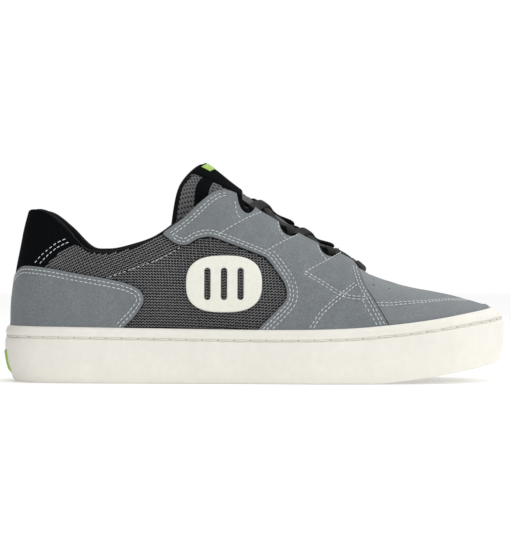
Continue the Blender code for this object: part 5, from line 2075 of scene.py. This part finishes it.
def swept(stops):
    """Points and faces of a flat lace with round edges along its stops."""
    line = smooth([(*s.place, *s.up, s.wide, s.thick) for s in stops], 7)
    centre, up = line[:, :3], line[:, 3:6]
    along = unit(np.gradient(centre, axis=0))
    up = unit(up - along * (up * along).sum(axis=1, keepdims=True))
    side = np.cross(along, up)
    turn = np.linspace(0, 2 * math.pi, LACE_COUNT, endpoint=False)
    x = 0.5 * LACE_WIDTH * superpower(np.cos(turn), 0.55)
    y = 0.5 * LACE_THICK * superpower(np.sin(turn), 0.80)
    rings = (centre[:, None] + side[:, None] * (x[None, :] * line[:, 6:7])[..., None]
             + up[:, None] * (y[None, :] * line[:, 7:8])[..., None])
    faces = [tuple(f) for f in grid_faces(len(rings), LACE_COUNT, loop_columns=True)]
    last_ring = (len(rings) - 1) * LACE_COUNT
    faces += [tuple(range(LACE_COUNT))[::-1], tuple(range(last_ring, last_ring + LACE_COUNT))]
    run = run_along(centre)
    uv = np.stack([run[:, None] * np.ones(LACE_COUNT), x[None, :] * np.ones((len(run), 1))], axis=-1)
    return rings.reshape(-1, 3), faces, uv.reshape(-1, 2)


def woven(name, dark, light, pitch):
    """Tight weave from two slanting waves in the flat layout."""
    material, nodes, shader = node_material(name)
    where, waves = flat_layout(nodes), []
    for slant in (40, -40):
        leaning = add_node(nodes, "ShaderNodeMapping", "Vector", Vector=where,
                           Rotation=(0, 0, math.radians(slant)))
        waves.append(add_node(nodes, "ShaderNodeTexWave", "Fac", Vector=leaning, Scale=0.32 / pitch,
                              Distortion=0.4))
    weave = maths(nodes, "MAXIMUM", *waves)
    add_bumps(nodes, shader, [weave], [0.00018])
    feed(shader, Base_Color=add_ramp(nodes, weave, dark, light), Roughness=vary(nodes, weave, 0.85, 0.65),
         Specular_IOR_Level=0.12, Sheen_Weight=0.04)
    return material


LACE = woven("black_lace", (0.005, 0.005, 0.005), (0.024, 0.024, 0.023), 0.0011)
print("the lace is", LACE_WIDTH * 1000, "mm wide and", LACE_THICK * 1000, "mm thick")

# %% Bar and crossings
LACE_BAR = 0.134
# Place across the tongue and lift of the bar's stops.
BAR_STOPS = ((-0.40, 0.0030), (-0.2, 0.0041), (0.0, 0.0044), (0.2, 0.0041), (0.40, 0.0030))
LACE_ROWS = (0.232, 0.372, 0.520, 0.672)
LACE_SPLAY = 0.030
LACE_REACH = 0.46
LACE_REACH_OVER = 0.40
LACE_LIFT = 0.0001
PASS_SHARES = (0.25, 0.42, 0.5, 0.58, 0.75)
PASS_WIDE = 0.16
EYELETS = (FRONT_EYELET, *reversed(SCALLOPS))


def lace_piece(name, runs, replaces):
    """One mesh from its runs of lace."""
    points, faces, layout = [], [], []
    for stops in runs:
        start = sum(len(p) for p in points)
        p, f, flat = swept(stops)
        points.append(p)
        layout.append(flat)
        faces += [tuple(i + start for i in one) for one in f]
    make_piece(name, np.vstack(points), faces, LACE, replaces=replaces,
               uv=np.vstack(layout))


def crossing(low, high, first, second, side, hump, over):
    """One run from a lower place on one side to a higher one on the other."""
    start = turned(first, side)
    stops = out_of_hole(start) if over else under_edge(start)[::-1]
    near, lift = (LACE_REACH_OVER, 0.0006) if over else (LACE_REACH, LACE_LIFT)
    stops.append(stop_on_tongue(low, side * near, lift))
    for share in PASS_SHARES:
        lift = LACE_LIFT + LACE_THICK * hump * math.exp(-((share - 0.5) / PASS_WIDE) ** 2)
        stops.append(stop_on_tongue(low + (high - low) * share, side * LACE_REACH * (1 - 2 * share), lift))
    stops.append(stop_on_tongue(high, -side * LACE_REACH, LACE_LIFT))
    return stops + under_edge(turned(second, -side))


bar = out_of_hole(turned(EYELETS[0], -1))
bar += [stop_on_tongue(LACE_BAR, v, lift, 1.0, 1.2) for v, lift in BAR_STOPS]
bar += out_of_hole(turned(EYELETS[0], 1))[::-1]
lace_piece("lace_bar_run", [bar], ["lace_bar"])
for i in range(3):
    low, high = LACE_ROWS[i] + LACE_SPLAY, LACE_ROWS[i + 1] - LACE_SPLAY
    runs = [crossing(low, high, EYELETS[i], EYELETS[i + 1], side, hump, i > 0)
            for side, hump in ((-1, 0.0), (1, 1.0))]
    lace_piece(f"lace_runs_{i + 1}", runs, [f"lace_crossing_{i + 1}"])

# %% [markdown]
# ## Small plate and footbed
# The lime plate on the heel is left bare. It could be a scaled cube, but the heel is round, so its
# grid is read from the sole's back. The footbed is the insole as packed, with a soft rounded
# rim: a ring of rows round the last, closed over with the same ladder as the sole.

# %% Heel plate
face, out = badge_face(25)
columns, levels = face.shape[:2]
across = np.linspace(-0.5, 0.5, columns)[:, None] * BADGE_WIDTH
tall = np.linspace(-0.5, 0.5, levels)[None, :] * BADGE_HEIGHT
away = np.minimum(0.5 * BADGE_WIDTH - np.abs(across), 0.5 * BADGE_HEIGHT - np.abs(tall))
lift = CLEAR + BADGE_THICK - rounded(BADGE_THICK, np.clip(away / 1.2, 0, BADGE_THICK))
top = face + out[:, None] * lift[..., None]
under_plate = face + out[:, None] * (0.5 * CLEAR)
faces = grid_faces(columns, levels)
make_piece("heel_plate", np.vstack([*top, *under_plate]),
           np.vstack([faces, faces[:, ::-1] + columns * levels]), LIME, replaces=["heel_badge"])

# %% Footbed
FOOTBED_GAP = WALL + CLEAR
FOOTBED_SOFT = 0.0015
BED_UNDER, BED_OVER = 4, 16

s = all_round(SOLE_COLUMNS)
inward = -flat_out(s, 0.0)
rows = []
for away, height in ((0.0006, 0.0), (0.0, 0.0006), (0.0, INSOLE - FOOTBED_SOFT),
                     (0.3 * FOOTBED_SOFT, INSOLE - 0.3 * FOOTBED_SOFT), (FOOTBED_SOFT, INSOLE)):
    ring = last(s, 0.04 * height / INSOLE) + inward * (FOOTBED_GAP + away)
    ring[:, 2] = floor_height(ring[:, 0]) + CLEAR + height
    rows.append(ring)
bed = np.array(rows)
points = list(bed.reshape(-1, 3))
faces = [tuple(f) for f in grid_faces(len(bed), SOLE_COLUMNS, loop_columns=True)]
low_bed, _, _ = ladder(bed[0], BED_UNDER)
low_bed[..., 2] = floor_height(low_bed[..., 0]) + CLEAR
high_bed, _, _ = ladder(bed[-1], BED_OVER)
dish = drift(high_bed.reshape(-1, 3), 0.0004, 0.03).reshape(high_bed.shape[:2])
high_bed[..., 2] = floor_height(high_bed[..., 0]) + CLEAR + INSOLE + dish
faces += close_ring(points, 0, low_bed, True)
faces += close_ring(points, (len(bed) - 1) * SOLE_COLUMNS, high_bed, False)
make_piece("footbed", points, faces, LINING, replaces=["insole"])

# %% [markdown]
# ## Stitches of the sole
# The cup sole is sewn to the upper through its groove. Long pale stitches lie in the groove
# and go down into a small dark hole at each end, a little over nine millimetres apart. A
# texture could paint them, but beads like those of the upper also stand out at the toe.

# %% Stitches in the groove
SOLE_PITCH = 0.0092
SOLE_STITCH = 0.0074
SOLE_THREAD = 0.0009
SOLE_HOLE = 0.0009
SOLE_HOLE_DEEP = 0.0008


def groove_line():
    """Places all along the bottom of the groove, with directions out of it."""
    s = all_round(SOLE_COLUMNS)
    _, out, heights, away = sole_steps(s)
    place = sole_points(s, heights[:, 5:6], away[:, 5:6])[:, 0]
    return place, out


place, out = groove_line()
loop = np.vstack([place, place[:1]])
run = run_along(loop)
count = int(round(run[-1] / SOLE_PITCH))


def along_groove(at):
    """Places in the groove and directions out of it, at distances along it."""
    at = at % run[-1]
    return read_at(at, run, loop), unit(read_at(at, run, np.vstack([out, out[:1]])))


middle = (np.arange(count) + 0.5) * run[-1] / count
spot, up = along_groove(middle)
ahead = unit(along_groove(middle + 0.002)[0] - along_groove(middle - 0.002)[0])
points, faces = beads(spot + up * 0.0002, ahead, up, SOLE_STITCH, SOLE_THREAD)
make_piece("sole_stitches", points, faces, RUBBER)
# Each hole is a small raised bead, grey as painted shade for the dark hole.
spot, up = along_groove(np.arange(count) * run[-1] / count)
ahead = np.cross(up, (0, 0, 1))
points, faces = beads(spot + up * 0.0003, ahead, up, SOLE_HOLE, SOLE_HOLE_DEEP)
make_piece("sole_stitch_holes", points, faces, HOLE_SHADE)
print("sole stitches:", count)
